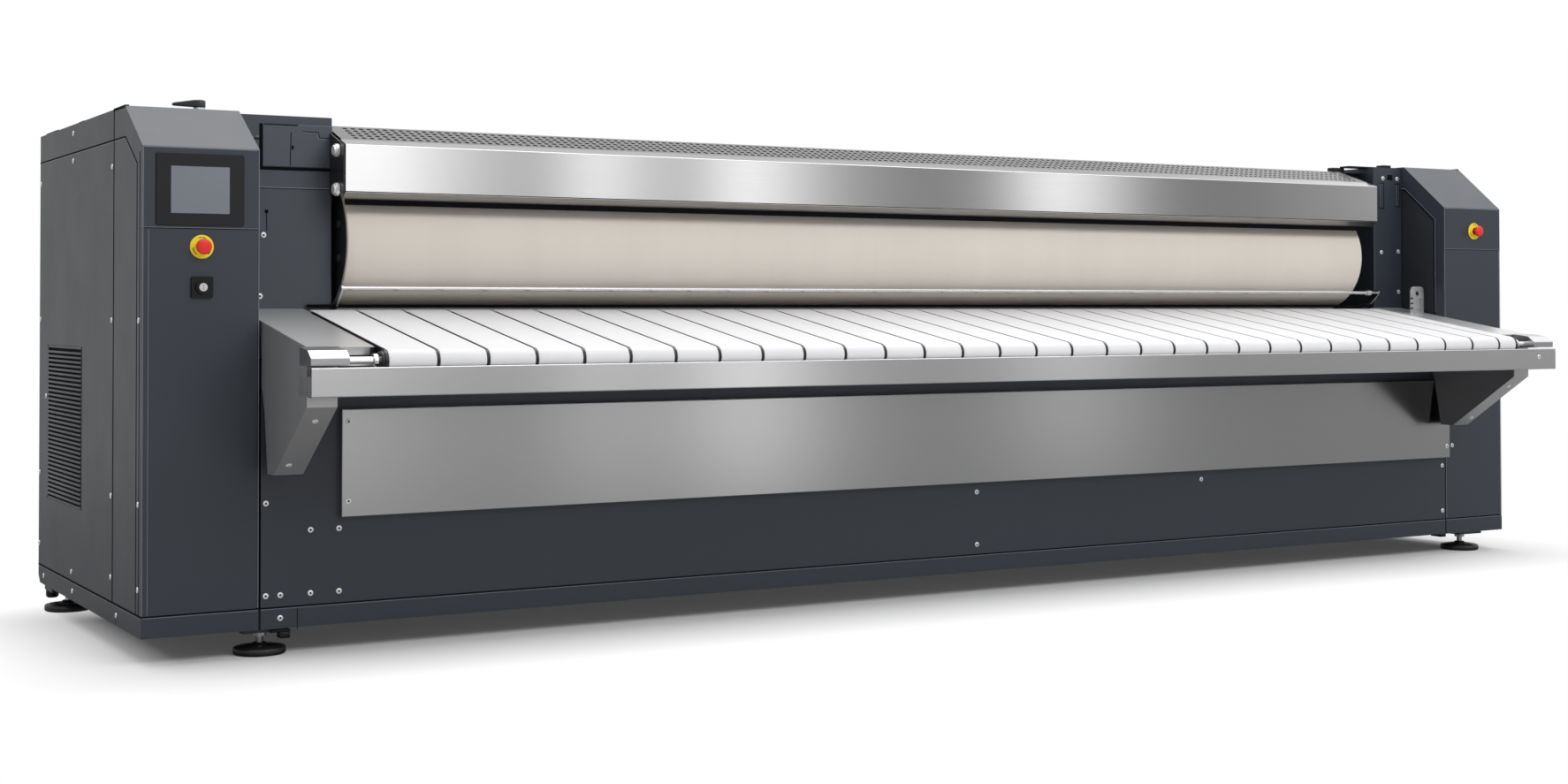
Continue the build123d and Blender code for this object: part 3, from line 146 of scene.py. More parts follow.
def powder_coat(name, color, roughness=0.42):
    """Satin powder coat: a fine orange peel, slow colour drift and a little dust."""
    s = Shader(name, color, roughness, IOR=1.5)
    peel = s.noise(900.0, 2.0)
    slow = s.noise(1.6)
    s.vary(slow, color, 0.93, 1.07)
    s.rough(s.noise(7.0, 4.0), roughness - 0.05, roughness + 0.06)
    s.bump(slow, 0.0015, 0.25)
    s.bump(peel, 0.00006, 0.35)


def brushed(name, color, roughness, along="X", drift=0.06, wave=0.0006, metallic=1.0,
            grain_bump=0.5, spread=0.0):
    """Brushed sheet: long grain, slow changes of tone and a slightly uneven surface.

    The spread draws reflections out across the grain.
    """
    s = Shader(name, color, roughness, metallic, Anisotropic=spread,
               Anisotropic_Rotation=0.25 if spread else 0.0)
    grain = s.noise(3.0, 4.0, 0.6, LONG_GRAIN[along])
    s.vary(s.blend(grain, s.noise(2.2), 0.5), color, 1 - drift, 1 + drift)
    s.rough(grain, roughness - 0.03, roughness + 0.04)
    s.bump(s.noise(1.1, 1.0, 0.4), wave, 0.6)
    s.bump(grain, 0.00004, grain_bump)


def plastic(name, color, roughness, shine=0.5):
    """Moulded plastic with a fine texture."""
    s = Shader(name, color, roughness, IOR=1.49, Specular_IOR_Level=shine)
    s.vary(s.noise(9.0), color, 0.92, 1.08)
    s.rough(s.noise(30.0), roughness - 0.04, roughness + 0.05)
    s.bump(s.noise(600.0, 2.0), 0.00004, 0.3)


def rubber(name, color, roughness=0.55):
    s = Shader(name, color, roughness, IOR=1.5)
    s.vary(s.noise(25.0, 4.0), color, 0.8, 1.35)
    s.rough(s.noise(60.0), roughness - 0.1, roughness + 0.1)
    s.bump(s.noise(450.0), 0.0001, 0.4)


def polished(name, color, roughness):
    """Ground and polished round steel, with faint turning marks."""
    s = Shader(name, color, roughness, 1.0)
    marks = s.noise(1.0, 2.0, 0.5, TURNED_GRAIN)
    s.vary(s.noise(14.0), color, 0.92, 1.04)
    s.rough(marks, roughness - 0.03, roughness + 0.06)
    s.bump(marks, 0.00002, 0.4)


def cast_metal(name, color, roughness=0.6):
    s = Shader(name, color, roughness, IOR=1.5)
    s.vary(s.noise(18.0, 5.0), color, 0.7, 1.2)
    s.rough(s.noise(40.0), roughness - 0.1, roughness + 0.1)
    s.bump(s.noise(260.0, 4.0), 0.0003, 0.5)


def zinc(name, color, roughness=0.38):
    """Galvanised sheet with a faint spangle."""
    s = Shader(name, color, roughness, 0.9)
    cells = s.node("TexVoronoi", {"Vector": s.coords, "Scale": 140.0}, feature="F1")
    tone = s.node("SeparateColor", {"Color": cells.outputs["Color"]}).outputs
    s.vary(tone["Red"], color, 0.84, 1.08)
    s.rough(tone["Green"], roughness - 0.08, roughness + 0.12)
    s.bump(s.noise(220.0, 2.0), 0.00005, 0.3)


def roll_cloth(name, color):
    """Dense woven cover: fine threads, soft streaks round the roll and faint scorching."""
    s = Shader(name, color, 0.62, Sheen_Weight=0.05, Sheen_Roughness=0.45, IOR=1.4)
    streaks = s.noise(1.0, 4.0, 0.6, (9.0, 0.35, 0.35))
    clouds = s.noise(2.4, 4.0)
    s.vary(s.blend(streaks, clouds, 0.6), color, 0.90, 1.07)
    weave = s.math("MULTIPLY", s.wave(420.0, "X", 0.4), s.wave(420.0, "Z", 0.4))
    s.rough(clouds, 0.55, 0.68)
    s.bump(streaks, 0.0012, 0.35)
    s.bump(weave, 0.0002, 0.35)


def belt_cloth(name, color):
    """White woven belting, a little shiny, with thread lines along and across."""
    s = Shader(name, color, 0.5, Sheen_Weight=0.15, Sheen_Roughness=0.5, IOR=1.42)
    soil = s.noise(5.0, 4.0, 0.6, (1.0, 0.5, 0.5))
    s.vary(soil, color, 0.95, 1.04)
    weave = s.math("ADD", s.wave(300.0, "X", 0.3), s.wave(300.0, "Y", 0.3))
    s.rough(soil, 0.44, 0.56)
    s.bump(s.noise(3.0, 2.0), 0.001, 0.25)
    s.bump(weave, 0.00012, 0.3)


def screen_glass(name, color):
    """Anti-glare touch glass over a dark display that's switched off."""
    s = Shader(name, color, 0.22, Coat_Weight=0.4, Coat_Roughness=0.12, IOR=1.5)
    s.vary(s.noise(6.0, 2.0), color, 0.94, 1.07)
    s.rough(s.noise(35.0), 0.18, 0.26)
    s.bump(s.noise(1400.0, 1.0), 0.00002, 0.15)


def joint_black(name, color):
    """Matte black of gaskets and of the shade inside a joint."""
    s = Shader(name, color, 0.9, Specular_IOR_Level=0.08)
    s.tint(s.noise(80.0, 2.0), (0.002, 0.002, 0.0025), (0.006, 0.006, 0.007))
    s.rough(s.noise(60.0, 2.0), 0.8, 0.95)
    s.bump(s.noise(500.0, 2.0), 0.00005, 0.3)


def painted_shade_span(name, inner, outer, start, stop, roughness, metallic):
    """Painted shade: one dark colour between two places along X, and brushed metal beyond."""
    s = Shader(name, outer, roughness, metallic)
    x = s.node("SeparateXYZ", {0: s.coords}).outputs["X"]
    inside = s.math("MULTIPLY", s.math("GREATER_THAN", x, start), s.math("LESS_THAN", x, stop))
    grain = s.noise(3.0, 4.0, 0.6, LONG_GRAIN["Y"])
    s.tint(s.blend(inside, grain, 0.96), outer, inner)
    s.set(Metallic=s.remap(inside, metallic, 0.0))
    s.rough(s.blend(grain, inside, 0.3), roughness - 0.05, 0.6)
    s.bump(grain, 0.00004, 0.3)


# the record's slots
powder_coat("cabinet_paint", (0.030, 0.036, 0.047), 0.40)
powder_coat("structure_paint", (0.13, 0.14, 0.15), 0.5)
brushed("stainless", (0.56, 0.56, 0.565), 0.2)
zinc("galvanised", (0.62, 0.63, 0.64))
plastic("black_plastic", (0.009, 0.009, 0.011), 0.38, shine=0.36)
powder_coat("black_metal", (0.016, 0.016, 0.018), 0.4)
polished("bright_steel", (0.72, 0.72, 0.73), 0.16)
brushed("polished_steel", (0.60, 0.60, 0.61), 0.2)
powder_coat("roll_steel", (0.022, 0.023, 0.026), 0.45)
brushed("heater_sheath", (0.30, 0.26, 0.22), 0.4)
roll_cloth("roll_cloth", (0.725, 0.668, 0.600))
belt_cloth("belt_cloth", (0.76, 0.76, 0.775))
rubber("belt_rubber", (0.02, 0.02, 0.02))
rubber("foot_rubber", (0.013, 0.013, 0.014), 0.38)
cast_metal("cast", (0.07, 0.085, 0.11))
screen_glass("screen_glass", (0.155, 0.175, 0.205))
plastic("yellow_plastic", (0.95, 0.70, 0.020), 0.3)
plastic("red_plastic", (0.78, 0.026, 0.022), 0.3)

# looks of single nodes and pieces
# darker red for the neck under the mushroom head: painted shade
plastic("red_neck_painted_shade", (0.30, 0.012, 0.012), 0.3)
plastic("switch_black", (0.005, 0.005, 0.006), 0.3, shine=0.3)
brushed("screw_steel", (0.88, 0.88, 0.89), 0.28, metallic=0.45)
brushed("lip_painted_shade_steel", (0.34, 0.33, 0.32), 0.3, drift=0.03, grain_bump=0.2)
brushed("apron_steel", (0.50, 0.50, 0.505), 0.17, drift=0.02, wave=0.0004, grain_bump=0.15,
        spread=0.8)
brushed("table_steel", (0.56, 0.56, 0.565), 0.15, drift=0.02, wave=0.0004, metallic=0.85,
        grain_bump=0.15, spread=0.8)
brushed("cover_steel", (0.62, 0.62, 0.625), 0.34, "Y", metallic=0.66)
brushed("cap_steel", (0.52, 0.52, 0.53), 0.3)
polished("shaft_steel", (0.66, 0.66, 0.67), 0.14)
powder_coat("dark_handle", (0.02, 0.02, 0.022), 0.35)
powder_coat("painted_edge_highlight", (0.17, 0.19, 0.22), 0.35)
plastic("roller_black", (0.006, 0.006, 0.007), 0.3)
joint_black("joint_black", (0.003, 0.003, 0.0035))
powder_coat("post_paint", (0.050, 0.057, 0.070), 0.40)
powder_coat("cover_paint", (0.062, 0.070, 0.085), 0.38)
powder_coat("inner_paint", (0.020, 0.023, 0.028), 0.5)
brushed("bonnet_steel", (0.57, 0.57, 0.57), 0.085, drift=0.02, wave=0.0003, grain_bump=0.15)
brushed("strip_steel", (0.21, 0.21, 0.21), 0.3, drift=0.03, grain_bump=0.2)
# black where the bed lies under the belts: painted shade
painted_shade_span("bed_metal_painted_shade", inner=(0.004, 0.004, 0.005), outer=(0.56, 0.56, 0.56),
         start=-1.75, stop=1.762, roughness=0.3, metallic=0.85)
# dark on the bracket's inner plate: painted shade
painted_shade_span("bracket_steel_painted_shade", inner=(0.072, 0.073, 0.077), outer=(0.52, 0.52, 0.525),
         start=1.80, stop=1.8252, roughness=0.32, metallic=0.7)

OWN_MATERIAL = {
    "nose_caps": "cap_steel", "apron_panel": "apron_steel", "table_front_panel": "table_steel",
    "table_brackets": "bracket_steel_painted_shade", "table_side_covers": "cover_steel",
    "table_frame": "bed_metal_painted_shade", "bonnet": "bonnet_steel", "key_switch_body": "switch_black",
    "post_cover_left": "post_paint", "post_access_cover": "cover_paint",
    "side_plates": "inner_paint",
}
SLOT_OF = {row["node"]: row["material_slot"] for row in frame["record"]["subparts"]}
for name, obj in NODES.items():
    obj.data.materials.clear()
    obj.data.materials.append(MATERIALS[OWN_MATERIAL.get(name, SLOT_OF[name])])


# ------------ stage
FLOOR_SIZE = (5.8, 3.6)      # half its length and depth
FLOOR_COLOR = (0.86, 0.86, 0.86, 1)
FOOTPRINT = (2.05, 0.38, 0)  # half the ground that the machine covers
FLOOR_NEAR_WHITE = 0.05      # share of plain white over that ground, where the shadow falls
FLOOR_SHADE = 0.38           # distance from it at which the floor has become plain white
# near the machine the floor's reflection is dimmed: painted shadow
FLOOR_GLOSS = 0.33           # the floor as metal and paint reflect it, away from the machine
WHITE = (1, 1, 1, 1)
FILL = 0.40                  # even light from all round
# the room as gloss shows it, by heading in degrees from -Y towards +X
ROOM_LEFT_BACK = [(-180, 0.56), (-60, 0.56), (-20, 0.6)]
REAR_RIGHT = [(108, 1.0), (124, 1.0), (136, 0.5), (180, 0.5)]
# in front of the machine: soft windows above the horizon, and their fainter image below it
BANDS_HIGH = [
    (0, 0.70), (14, 0.75), (17, 1.75), (20, 1.85), (21.5, 1.10), (23.6, 0.52), (25.5, 1.85),
    (27.5, 0.42), (29.8, 2.05), (31.4, 0.80), (33, 0.42), (36, 0.26), (38.4, 2.1), (40.3, 0.36),
    (42.5, 0.28), (46, 0.50), (49, 0.80), (56, 0.90), (75, 0.70)]
BANDS_LOW = [
    (0, 0.36), (13, 0.36), (17, 0.55), (18.5, 0.64), (20.5, 0.40), (24, 0.38), (25.5, 0.98),
    (27.2, 0.42), (29.9, 1.70), (31.8, 0.46), (34, 0.38), (37, 0.36), (38.6, 1.05),
    (40.3, 0.40), (42, 0.32), (50, 0.34), (75, 0.36)]
BRIGHTEST = 3.0              # brightness that a full colour in the bands stands for
HORIZON = (0.0, 0.055)       # rise over which the low bands give way to the high ones
CEILING = 2.0                # how much brighter gloss shows the room overhead
CEILING_RISE = (0.25, 0.75)  # rise over which it gets there
SMOOTH = {"interpolation_type": "SMOOTHSTEP"}


def linked(name, data):
    """New object in the scene."""
    obj = bpy.data.objects.new(name, data)
    bpy.context.scene.collection.objects.link(obj)
    return obj


def empty_tree(owner):
    """The owner's node tree, cleared, and its ray kinds: for the camera, and for gloss."""
    owner.use_nodes = True
    n = Nodes(owner.node_tree)
    n.tree.nodes.clear()
    path = n.node("LightPath").outputs
    gloss = n.math("MAXIMUM", path["Is Glossy Ray"], path["Is Transmission Ray"])
    return n, path["Is Camera Ray"], gloss


def white_floor():
    """White floor: it takes the machine's shadow close by and fades to plain white further out."""
    x, y = FLOOR_SIZE
    mesh = bpy.data.meshes.new("floor")
    mesh.from_pydata([(-x, -y, 0), (x, -y, 0), (x, y, 0), (-x, y, 0)], [], [(0, 1, 2, 3)])
    material = bpy.data.materials.new("floor")
    n, camera, gloss = empty_tree(material)
    outward = n.node("TexCoord").outputs["Object"]
    for operation, second in (("ABSOLUTE", (0, 0, 0)), ("SUBTRACT", FOOTPRINT),
                              ("MAXIMUM", (0, 0, 0))):
        outward = n.node("VectorMath", {0: outward, 1: second}, operation=operation)
    distance = n.node("VectorMath", {0: outward}, operation="LENGTH").outputs["Value"]
    spread = n.remap(distance, FLOOR_NEAR_WHITE, 1.0, 0.0, FLOOR_SHADE)
    seen = n.mixed_shader(n.math("MULTIPLY", camera, spread),
                          n.node("BsdfDiffuse", {"Color": FLOOR_COLOR}),
                          n.node("Emission", {"Strength": 1.0}))
    # painted shadow: the floor as gloss sees it dims near the machine
    pale = n.node("Emission", {"Strength": n.math("MULTIPLY", spread, FLOOR_GLOSS)})
    n.node("OutputMaterial", {"Surface": n.mixed_shader(gloss, seen, pale)})
    mesh.materials.append(material)
    linked("floor", mesh)


def studio_world():
    """White for the camera, a room with windows for gloss, and a low even fill otherwise."""
    world = bpy.context.scene.world = bpy.data.worlds.new("studio")
    n, camera, gloss = empty_tree(world)
    axes = n.node("SeparateXYZ", {0: n.node("TexCoord").outputs["Generated"]}).outputs
    heading = n.math("ARCTAN2", axes["X"], n.math("MULTIPLY", axes["Y"], -1.0))
    share = n.remap(heading, 0.0, 1.0, -math.pi, math.pi)

    def band_ramp(front_bands):
        bands = n.node("ValToRGB", {"Fac": share})
        ramp = bands.color_ramp
        ramp.interpolation = "EASE"
        stops = ROOM_LEFT_BACK + front_bands + REAR_RIGHT
        for number, (angle, value) in enumerate(stops):
            position = (angle + 180) / 360
            if number == 0:
                element = ramp.elements[0]
            elif number == len(stops) - 1:
                element = ramp.elements[-1]
            else:
                element = ramp.elements.new(position)
            element.position = position
            element.color = (value / BRIGHTEST,) * 3 + (1,)
        return bands

    front = n.color_between(n.remap(axes["Z"], 0.0, 1.0, *HORIZON, **SMOOTH),
                            band_ramp(BANDS_LOW), band_ramp(BANDS_HIGH))
    ceiling = n.remap(axes["Z"], 1.0, CEILING, *CEILING_RISE, **SMOOTH)
    room, fill, white = (
        n.node("Background", {"Color": color, "Strength": strength}) for color, strength in (
            (front, n.math("MULTIPLY", ceiling, BRIGHTEST)), (WHITE, FILL), (WHITE, 1.0)))
    unseen = n.mixed_shader(gloss, fill, room)
    n.node("OutputWorld", {"Surface": n.mixed_shader(camera, unseen, white)})


def softbox(name, location, target, size, power, gloss=True):
    """Area lamp that points at a place; without gloss, metal doesn't reflect it."""
    lamp = bpy.data.lights.new(name, "AREA")
    lamp.shape = "RECTANGLE"
    lamp.size, lamp.size_y = size
    lamp.energy = power
    obj = linked(name, lamp)
    obj.location = location
    obj.rotation_mode = "QUATERNION"
    obj.rotation_quaternion = (Vector(target) - Vector(location)).to_track_quat("-Z", "Y")
    obj.visible_glossy = gloss


white_floor()
studio_world()
softbox("key_top", location=(0.0, 0.6, 5.0), target=(0.0, 0.0, 0.6), size=(9.0, 4.0), power=240)
softbox("front", location=(1.2, -6.5, 5.4), target=(0.0, 0.0, 0.8), size=(6.0, 3.0), power=310,
        gloss=False)

# the camera, solved from the photograph's edges
PHOTO_SIZE = (1774, 887)
FOCAL_LENGTH = 2325.5763     # in the photograph's pixels
AXIS_ROW = 308.75            # row of the photograph that the camera's axis meets
YAW, PITCH, ROLL = math.radians(30.6055), math.radians(1.0592), math.radians(-0.0911)
EYE = (-3.2193, -4.9095, 0.7691)
SENSOR = 36.0


def photo_camera():
    ahead = Vector((math.sin(YAW), math.cos(YAW), 0))
    right = Vector((math.cos(YAW), -math.sin(YAW), 0))
    up = Vector((0, 0, 1))
    forward = ahead * math.cos(PITCH) + up * math.sin(PITCH)
    lifted = up * math.cos(PITCH) - ahead * math.sin(PITCH)
    across = right * math.cos(ROLL) + lifted * math.sin(ROLL)
    upward = lifted * math.cos(ROLL) - right * math.sin(ROLL)
    camera = bpy.data.cameras.new("camera")
    camera.sensor_width = SENSOR
    camera.lens = FOCAL_LENGTH / PHOTO_SIZE[0] * SENSOR
    camera.shift_y = (AXIS_ROW - PHOTO_SIZE[1] / 2) / PHOTO_SIZE[0]
    camera.clip_start, camera.clip_end = 0.05, 200
    obj = linked("camera", camera)
    obj.matrix_world = (Matrix.Translation(EYE)
                        @ Matrix((across, upward, -forward)).transposed().to_4x4())
    bpy.context.scene.camera = obj


photo_camera()
bpy.context.scene.view_settings.view_transform = "Standard"


# ------------ places shared with the CAD, in mm
FRONT = -373.5               # front of the cabinets in the row frame
HALF, INNER = 2150, 1894
DEPTH, HEIGHT = 1120, 1231
RAIL_TOP = 108
BENDS = ((-1, 1130), (1, 1093))    # side, and the height at which its hood starts to slope
SHADOW_GAP = 5.3             # open joint between a cabinet and the panels beside it
POST_FRONT, POST_TOP = 178, 1226
POST_LEFT_X, POST_RIGHT_X = -1669, 1771
ROLL_CENTRE = (FRONT + 274, 936)
ROLL_RADIUS = 162.5
ROLL_ENDS = (-1653, 1647)
NOSE, NOSE_RADIUS = (FRONT - 372, 665), 22.3
DRIVE, DRIVE_RADIUS = (FRONT + 142, 740.2), 30.3
BELT = 2.5
BELT_COUNT = 31
BELT_PITCH, BELT_WIDTH, LAST_WIDTH = 113.8, 105.8, 67
FIRST_BELT = -1733.4
FORWARD, UP, ALONG = (0, -1, 0), (0, 0, 1), (1, 0, 0)


# ------------ mesh helpers, in millimetres
def spot(x, y, z):
    """Place in the row frame; y counts from the cabinets' front."""
    return Vector((x * MM, (FRONT + y) * MM, z * MM))


def facing(place, normal):
    """Matrix that stands a turned part on a place, pointing along a normal."""
    turn = Vector(normal).to_track_quat("Z", "Y").to_matrix().to_4x4()
    return Matrix.Translation(spot(*place)) @ turn


def circle(count, shift=0.0):
    """Cosine and sine of equal steps all round."""
    for k in range(count):
        turn = 2 * math.pi * (k + shift) / count
        yield math.cos(turn), math.sin(turn)


def skin(mesh, rings, closed=False):
    """Faces from ring to ring."""
    for near, far in zip(rings, rings[1:] + rings[:1] if closed else rings[1:]):
        for k in range(len(near)):
            n = (k + 1) % len(near)
            mesh.faces.new((near[k], near[n], far[n], far[k]))


def loft(mesh, rings):
    """Solid skin over rings, with both ends closed."""
    skin(mesh, rings)
    mesh.faces.new(list(reversed(rings[0])))
    mesh.faces.new(rings[-1])


def lathe(mesh, profile, matrix, segments, closed=False):
    """Turn (radius, height) points about the matrix's Z axis."""
    rings = [[mesh.verts.new(matrix @ Vector((radius * MM * c, radius * MM * s, height * MM)))
              for c, s in circle(segments)] for radius, height in profile]
    skin(mesh, rings, closed)
    if not closed:
        if profile[0][0] > 0:
            mesh.faces.new(list(reversed(rings[0])))
        if profile[-1][0] > 0:
            mesh.faces.new(rings[-1])


def box(mesh, low, high, bevel=0.0):
    """Box between two corners, with rounded edges."""
    middle = (spot(*low) + spot(*high)) / 2
    size = Matrix.Diagonal([abs(b - a) * MM for a, b in zip(low, high)] + [1])
    made = bmesh.ops.create_cube(mesh, size=1.0, matrix=Matrix.Translation(middle) @ size)
    if bevel:
        edges = {edge for vert in made["verts"] for edge in vert.link_edges}
        bmesh.ops.bevel(mesh, geom=list(edges), offset=bevel * MM, segments=2, profile=0.5,
                        affect="EDGES")


def prism(mesh, outline, x0, x1):
    """Closed outline in (y, z), carried along X."""
    loft(mesh, [[mesh.verts.new(spot(x, y, z)) for y, z in outline] for x in (x0, x1)])


def ribbon(mesh, points, normal, width, proud=0.5, sunk=0.3):
    """Flat strip along a run of points on a surface, mitred at its corners."""
    normal = Vector(normal).normalized()
    places = [spot(*point) for point in points]
    rings = []
    for k, place in enumerate(places):
        sides = [normal.cross((places[b] - places[a]).normalized())
                 for a, b in ((k - 1, k), (k, k + 1)) if a >= 0 and b < len(places)]
        side = sum(sides, Vector()).normalized()
        reach = side * (width / 2 * MM / max(0.3, side.dot(sides[0])))
        rings.append([mesh.verts.new(place + reach * across + normal * out * MM)
                      for across, out in ((-1, -sunk), (1, -sunk), (1, proud), (-1, proud))])
    loft(mesh, rings)


def front_line(mesh, width, *points, y=0.0, proud=0.3):
    """Strip on a sheet that faces the front, through (x, z) points."""
    ribbon(mesh, [(x, y, z) for x, z in points], FORWARD, width, proud)


def disc(mesh, place, radius):
    """Thin round mark that faces the front."""
    lathe(mesh, [(radius, -0.3), (radius, 0.4)], facing(place, FORWARD), 20)


# joints, gaskets and shade
BLACK = {"body": "machine", "material": "joint_black", "slot": "black_metal", "smooth": False}


def piece(name, mesh, body, material, replaces=(), slot=None, smooth=True):
    """Link a bmesh as a piece that rides on a body."""
    data = bpy.data.meshes.new(name)
    bmesh.ops.remove_doubles(mesh, verts=mesh.verts, dist=1e-6)
    bmesh.ops.recalc_face_normals(mesh, faces=mesh.faces)
    mesh.to_mesh(data)
    mesh.free()
    obj = linked(name, data)
    data.materials.append(MATERIALS[material])
    if smooth:
        data.polygons.foreach_set("use_smooth", [True] * len(data.polygons))
        data.set_sharp_from_angle(angle=math.radians(35))
    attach(obj, body)
    if replaces:
        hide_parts(*replaces)
    return obj


# ------------ feed belts
ARC_STEPS, RUN_STEPS = 22, 10


def upper_run(offset):
    """Both rollers' radii at a distance from them, the run's heading, and its lean to that."""
    r0, r1 = NOSE_RADIUS + offset, DRIVE_RADIUS + offset
    dy, dz = DRIVE[0] - NOSE[0], DRIVE[1] - NOSE[1]
    return r0, r1, math.atan2(dz, dy), math.asin((r1 - r0) / math.hypot(dy, dz))


def belt_path():
    """Points round both rollers, with unit normals, in (y, z)."""
    r0, r1, heading, lean = upper_run(0)
    top, bottom = heading + math.pi / 2 + lean, heading - math.pi / 2 - lean
    arcs = []
    for (y, z), r, first, last in ((NOSE, r0, top, bottom + 2 * math.pi),
                                   (DRIVE, r1, bottom, top)):
        turns = [first + (last - first) * k / ARC_STEPS for k in range(ARC_STEPS + 1)]
        arcs.append([(y + r * math.cos(a), z + r * math.sin(a), math.cos(a), math.sin(a))
                     for a in turns])
    points = []
    for arc, following in (arcs, arcs[::-1]):
        points += arc
        points += [tuple(p + (q - p) * k / RUN_STEPS for p, q in zip(arc[-1], following[0]))
                   for k in range(1, RUN_STEPS)]
    return points


def feed_belts():
    """Each belt is a woven loop with soft edges and a very slight crown."""
    mesh = bmesh.new()
    rng = random.Random(7)
    path = belt_path()
    edge, soft, nick = 0.7, 1.6, 0.15
    for index in range(BELT_COUNT):
        width = LAST_WIDTH if index == BELT_COUNT - 1 else BELT_WIDTH
        x0 = FIRST_BELT + index * BELT_PITCH
        lift = rng.uniform(-0.12, 0.12)
        section = [
            (0, edge), (edge * 0.4, nick), (soft, 0),
            (width - soft, 0), (width - edge * 0.4, nick), (width, edge),
            (width, BELT - edge), (width - edge * 0.4, BELT - nick), (width - soft, BELT),
            (width * 0.75, BELT + 0.12), (width * 0.5, BELT + 0.18), (width * 0.25, BELT + 0.12),
            (soft, BELT), (edge * 0.4, BELT - nick), (0, BELT - edge)]
        rings = []
        for y, z, ny, nz in path:
            size = math.hypot(ny, nz)
            ring = []
            for dx, out in section:
                reach = out + (lift if out > BELT / 2 else 0)
                ring.append(mesh.verts.new(((x0 + dx) * MM, (y + ny / size * reach) * MM,
                                            (z + nz / size * reach) * MM)))
            rings.append(ring)
        skin(mesh, rings, closed=True)
    piece("feed_belt_loops", mesh, "machine", "belt_cloth", ["feed_belts"], "belt_cloth")


feed_belts()


# ------------ roll cover
COVER_STATIONS, COVER_SEGMENTS = 90, 160
RIPPLE, RIPPLE_LENGTH, RIPPLE_ORDERS = 0.035, 0.004, 5
COVER_PLAY = 0.15            # keeps the ripples inside the CAD's cover
RIM = 4                      # stations in the rim at each end


def roll_cover():
    """Padded cover with a rolled-in rim at each end and a barely uneven surface."""
    mesh = bmesh.new()
    rng = random.Random(3)
    phases = [(rng.uniform(0, 6.28), rng.uniform(0, 6.28)) for _ in range(RIPPLE_ORDERS)]
    x0, x1 = ROLL_ENDS
    stations = [(x0, -10), (x0, -2.6), (x0 + 0.8, -0.8), (x0 + 2.6, 0)]
    stations += [(x0 + (x1 - x0) * k / COVER_STATIONS, 0) for k in range(1, COVER_STATIONS)]
    stations += [(x1 - 2.6, 0), (x1 - 0.8, -0.8), (x1, -2.6), (x1, -10)]
    rings = []
    for number, (x, drop) in enumerate(stations):
        ring = []
        for k in range(COVER_SEGMENTS):
            a = 2 * math.pi * k / COVER_SEGMENTS
            ripple = 0.0
            if RIM <= number < len(stations) - RIM:
                for order, (p, q) in enumerate(phases, 1):
                    ripple += RIPPLE * math.sin(order * a + p) * math.sin(
                        x * RIPPLE_LENGTH * order + q)
            r = ROLL_RADIUS + drop
            if drop > -5:
                r += ripple - COVER_PLAY
            ring.append(mesh.verts.new((x * MM, (ROLL_CENTRE[0] + r * math.cos(a)) * MM,
                                        (ROLL_CENTRE[1] + r * math.sin(a)) * MM)))
        rings.append(ring)
    skin(mesh, rings, closed=True)
    cover = piece("roll_padding", mesh, "roll", "roll_cloth", ["roll_cover"], "roll_cloth")


roll_cover()


# ------------ perforated strip
def perforated_strip():
    """Sheet above the roll with rows of round holes, cut as real openings."""
    mesh = bmesh.new()
    columns, rows, sides = 165, 5, 12
    x0, x1 = -1668.4, 1672
    bend_y, bend_z, back_y, back_z, low_y = 71, 1157, 228, 1212, 111
    low_z = bend_z + (back_z - bend_z) / (back_y - bend_y) * (low_y - bend_y)
    low, high = Vector((FRONT + low_y, low_z)), Vector((FRONT + back_y, back_z))
    along = high - low
    width, run = x1 - x0, along.length
    along.normalize()
    normal = Vector((-along.y, along.x))
    margin, edge, radius, sheet = 30, 9, 6.3, 1.2
    step, row_step = (width - 2 * margin) / columns, (run - 2 * edge) / rows

    def corner(u, v, depth):
        p = low + along * v - normal * depth
        return mesh.verts.new(((x0 + u) * MM, p.x * MM, p.y * MM))

    for depth in (0, sheet):
        for u0, v0, u1, v1 in ((0, 0, margin, run), (width - margin, 0, width, run),
                               (margin, 0, width - margin, edge),
                               (margin, run - edge, width - margin, run)):
            mesh.faces.new([corner(u, v, depth)
                            for u, v in ((u0, v0), (u1, v0), (u1, v1), (u0, v1))])
    for cell in range(columns * rows):
        column, row = divmod(cell, rows)
        cu, cv = margin + column * step + step / 2, edge + row * row_step + row_step / 2
        holes = []
        for depth in (0, sheet):
            hole, around = [], []
            for c, s in circle(sides, 0.5):
                hole.append(corner(cu + radius * c, cv + radius * s, depth))
                grow = 1.0 / max(abs(c), abs(s))
                around.append(corner(cu + step / 2 * c * grow, cv + row_step / 2 * s * grow, depth))
            skin(mesh, [hole, around])
            holes.append(hole)
        skin(mesh, holes)
    piece("perforated_strip", mesh, "machine", "strip_steel", ["bonnet_grille"], "stainless",
          smooth=False)


perforated_strip()


# ------------ screws, outward from the panel
SCREW_HEAD = [(0, -12), (2.5, -12), (2.5, 0), (6.5, 0), (6.8, 0.5), (6.4, 1.5),
              (5.3, 2.2), (3.6, 2.5), (2.8, 2.45), (2.5, 0.8), (0, 0.8)]
SCREW_SOCKET = [(0, 0.5), (2.45, 0.5), (2.45, 1.1), (0, 1.1)]
BUSH = [(0, -6), (2.5, -6), (2.5, 0), (14, 0), (15.5, 1.2), (15.5, 8.5),
        (14.5, 9.5), (12, 9.8), (12, 12.8), (11, 13.8), (0, 14)]
BACK = DEPTH - 13
SIDE_SCREWS = [(y, z) for y in (30, 288, BACK) for z in (165, 350, 750)] + [
    (288, HEIGHT - 130), (BACK, HEIGHT - 126), (710, 132), (710, HEIGHT - 90),
    ((1010 + BACK) / 2 - 29, 552), (710, HEIGHT - 22)] + [
    (y, 85) for y in (231, 699, DEPTH - 70)]
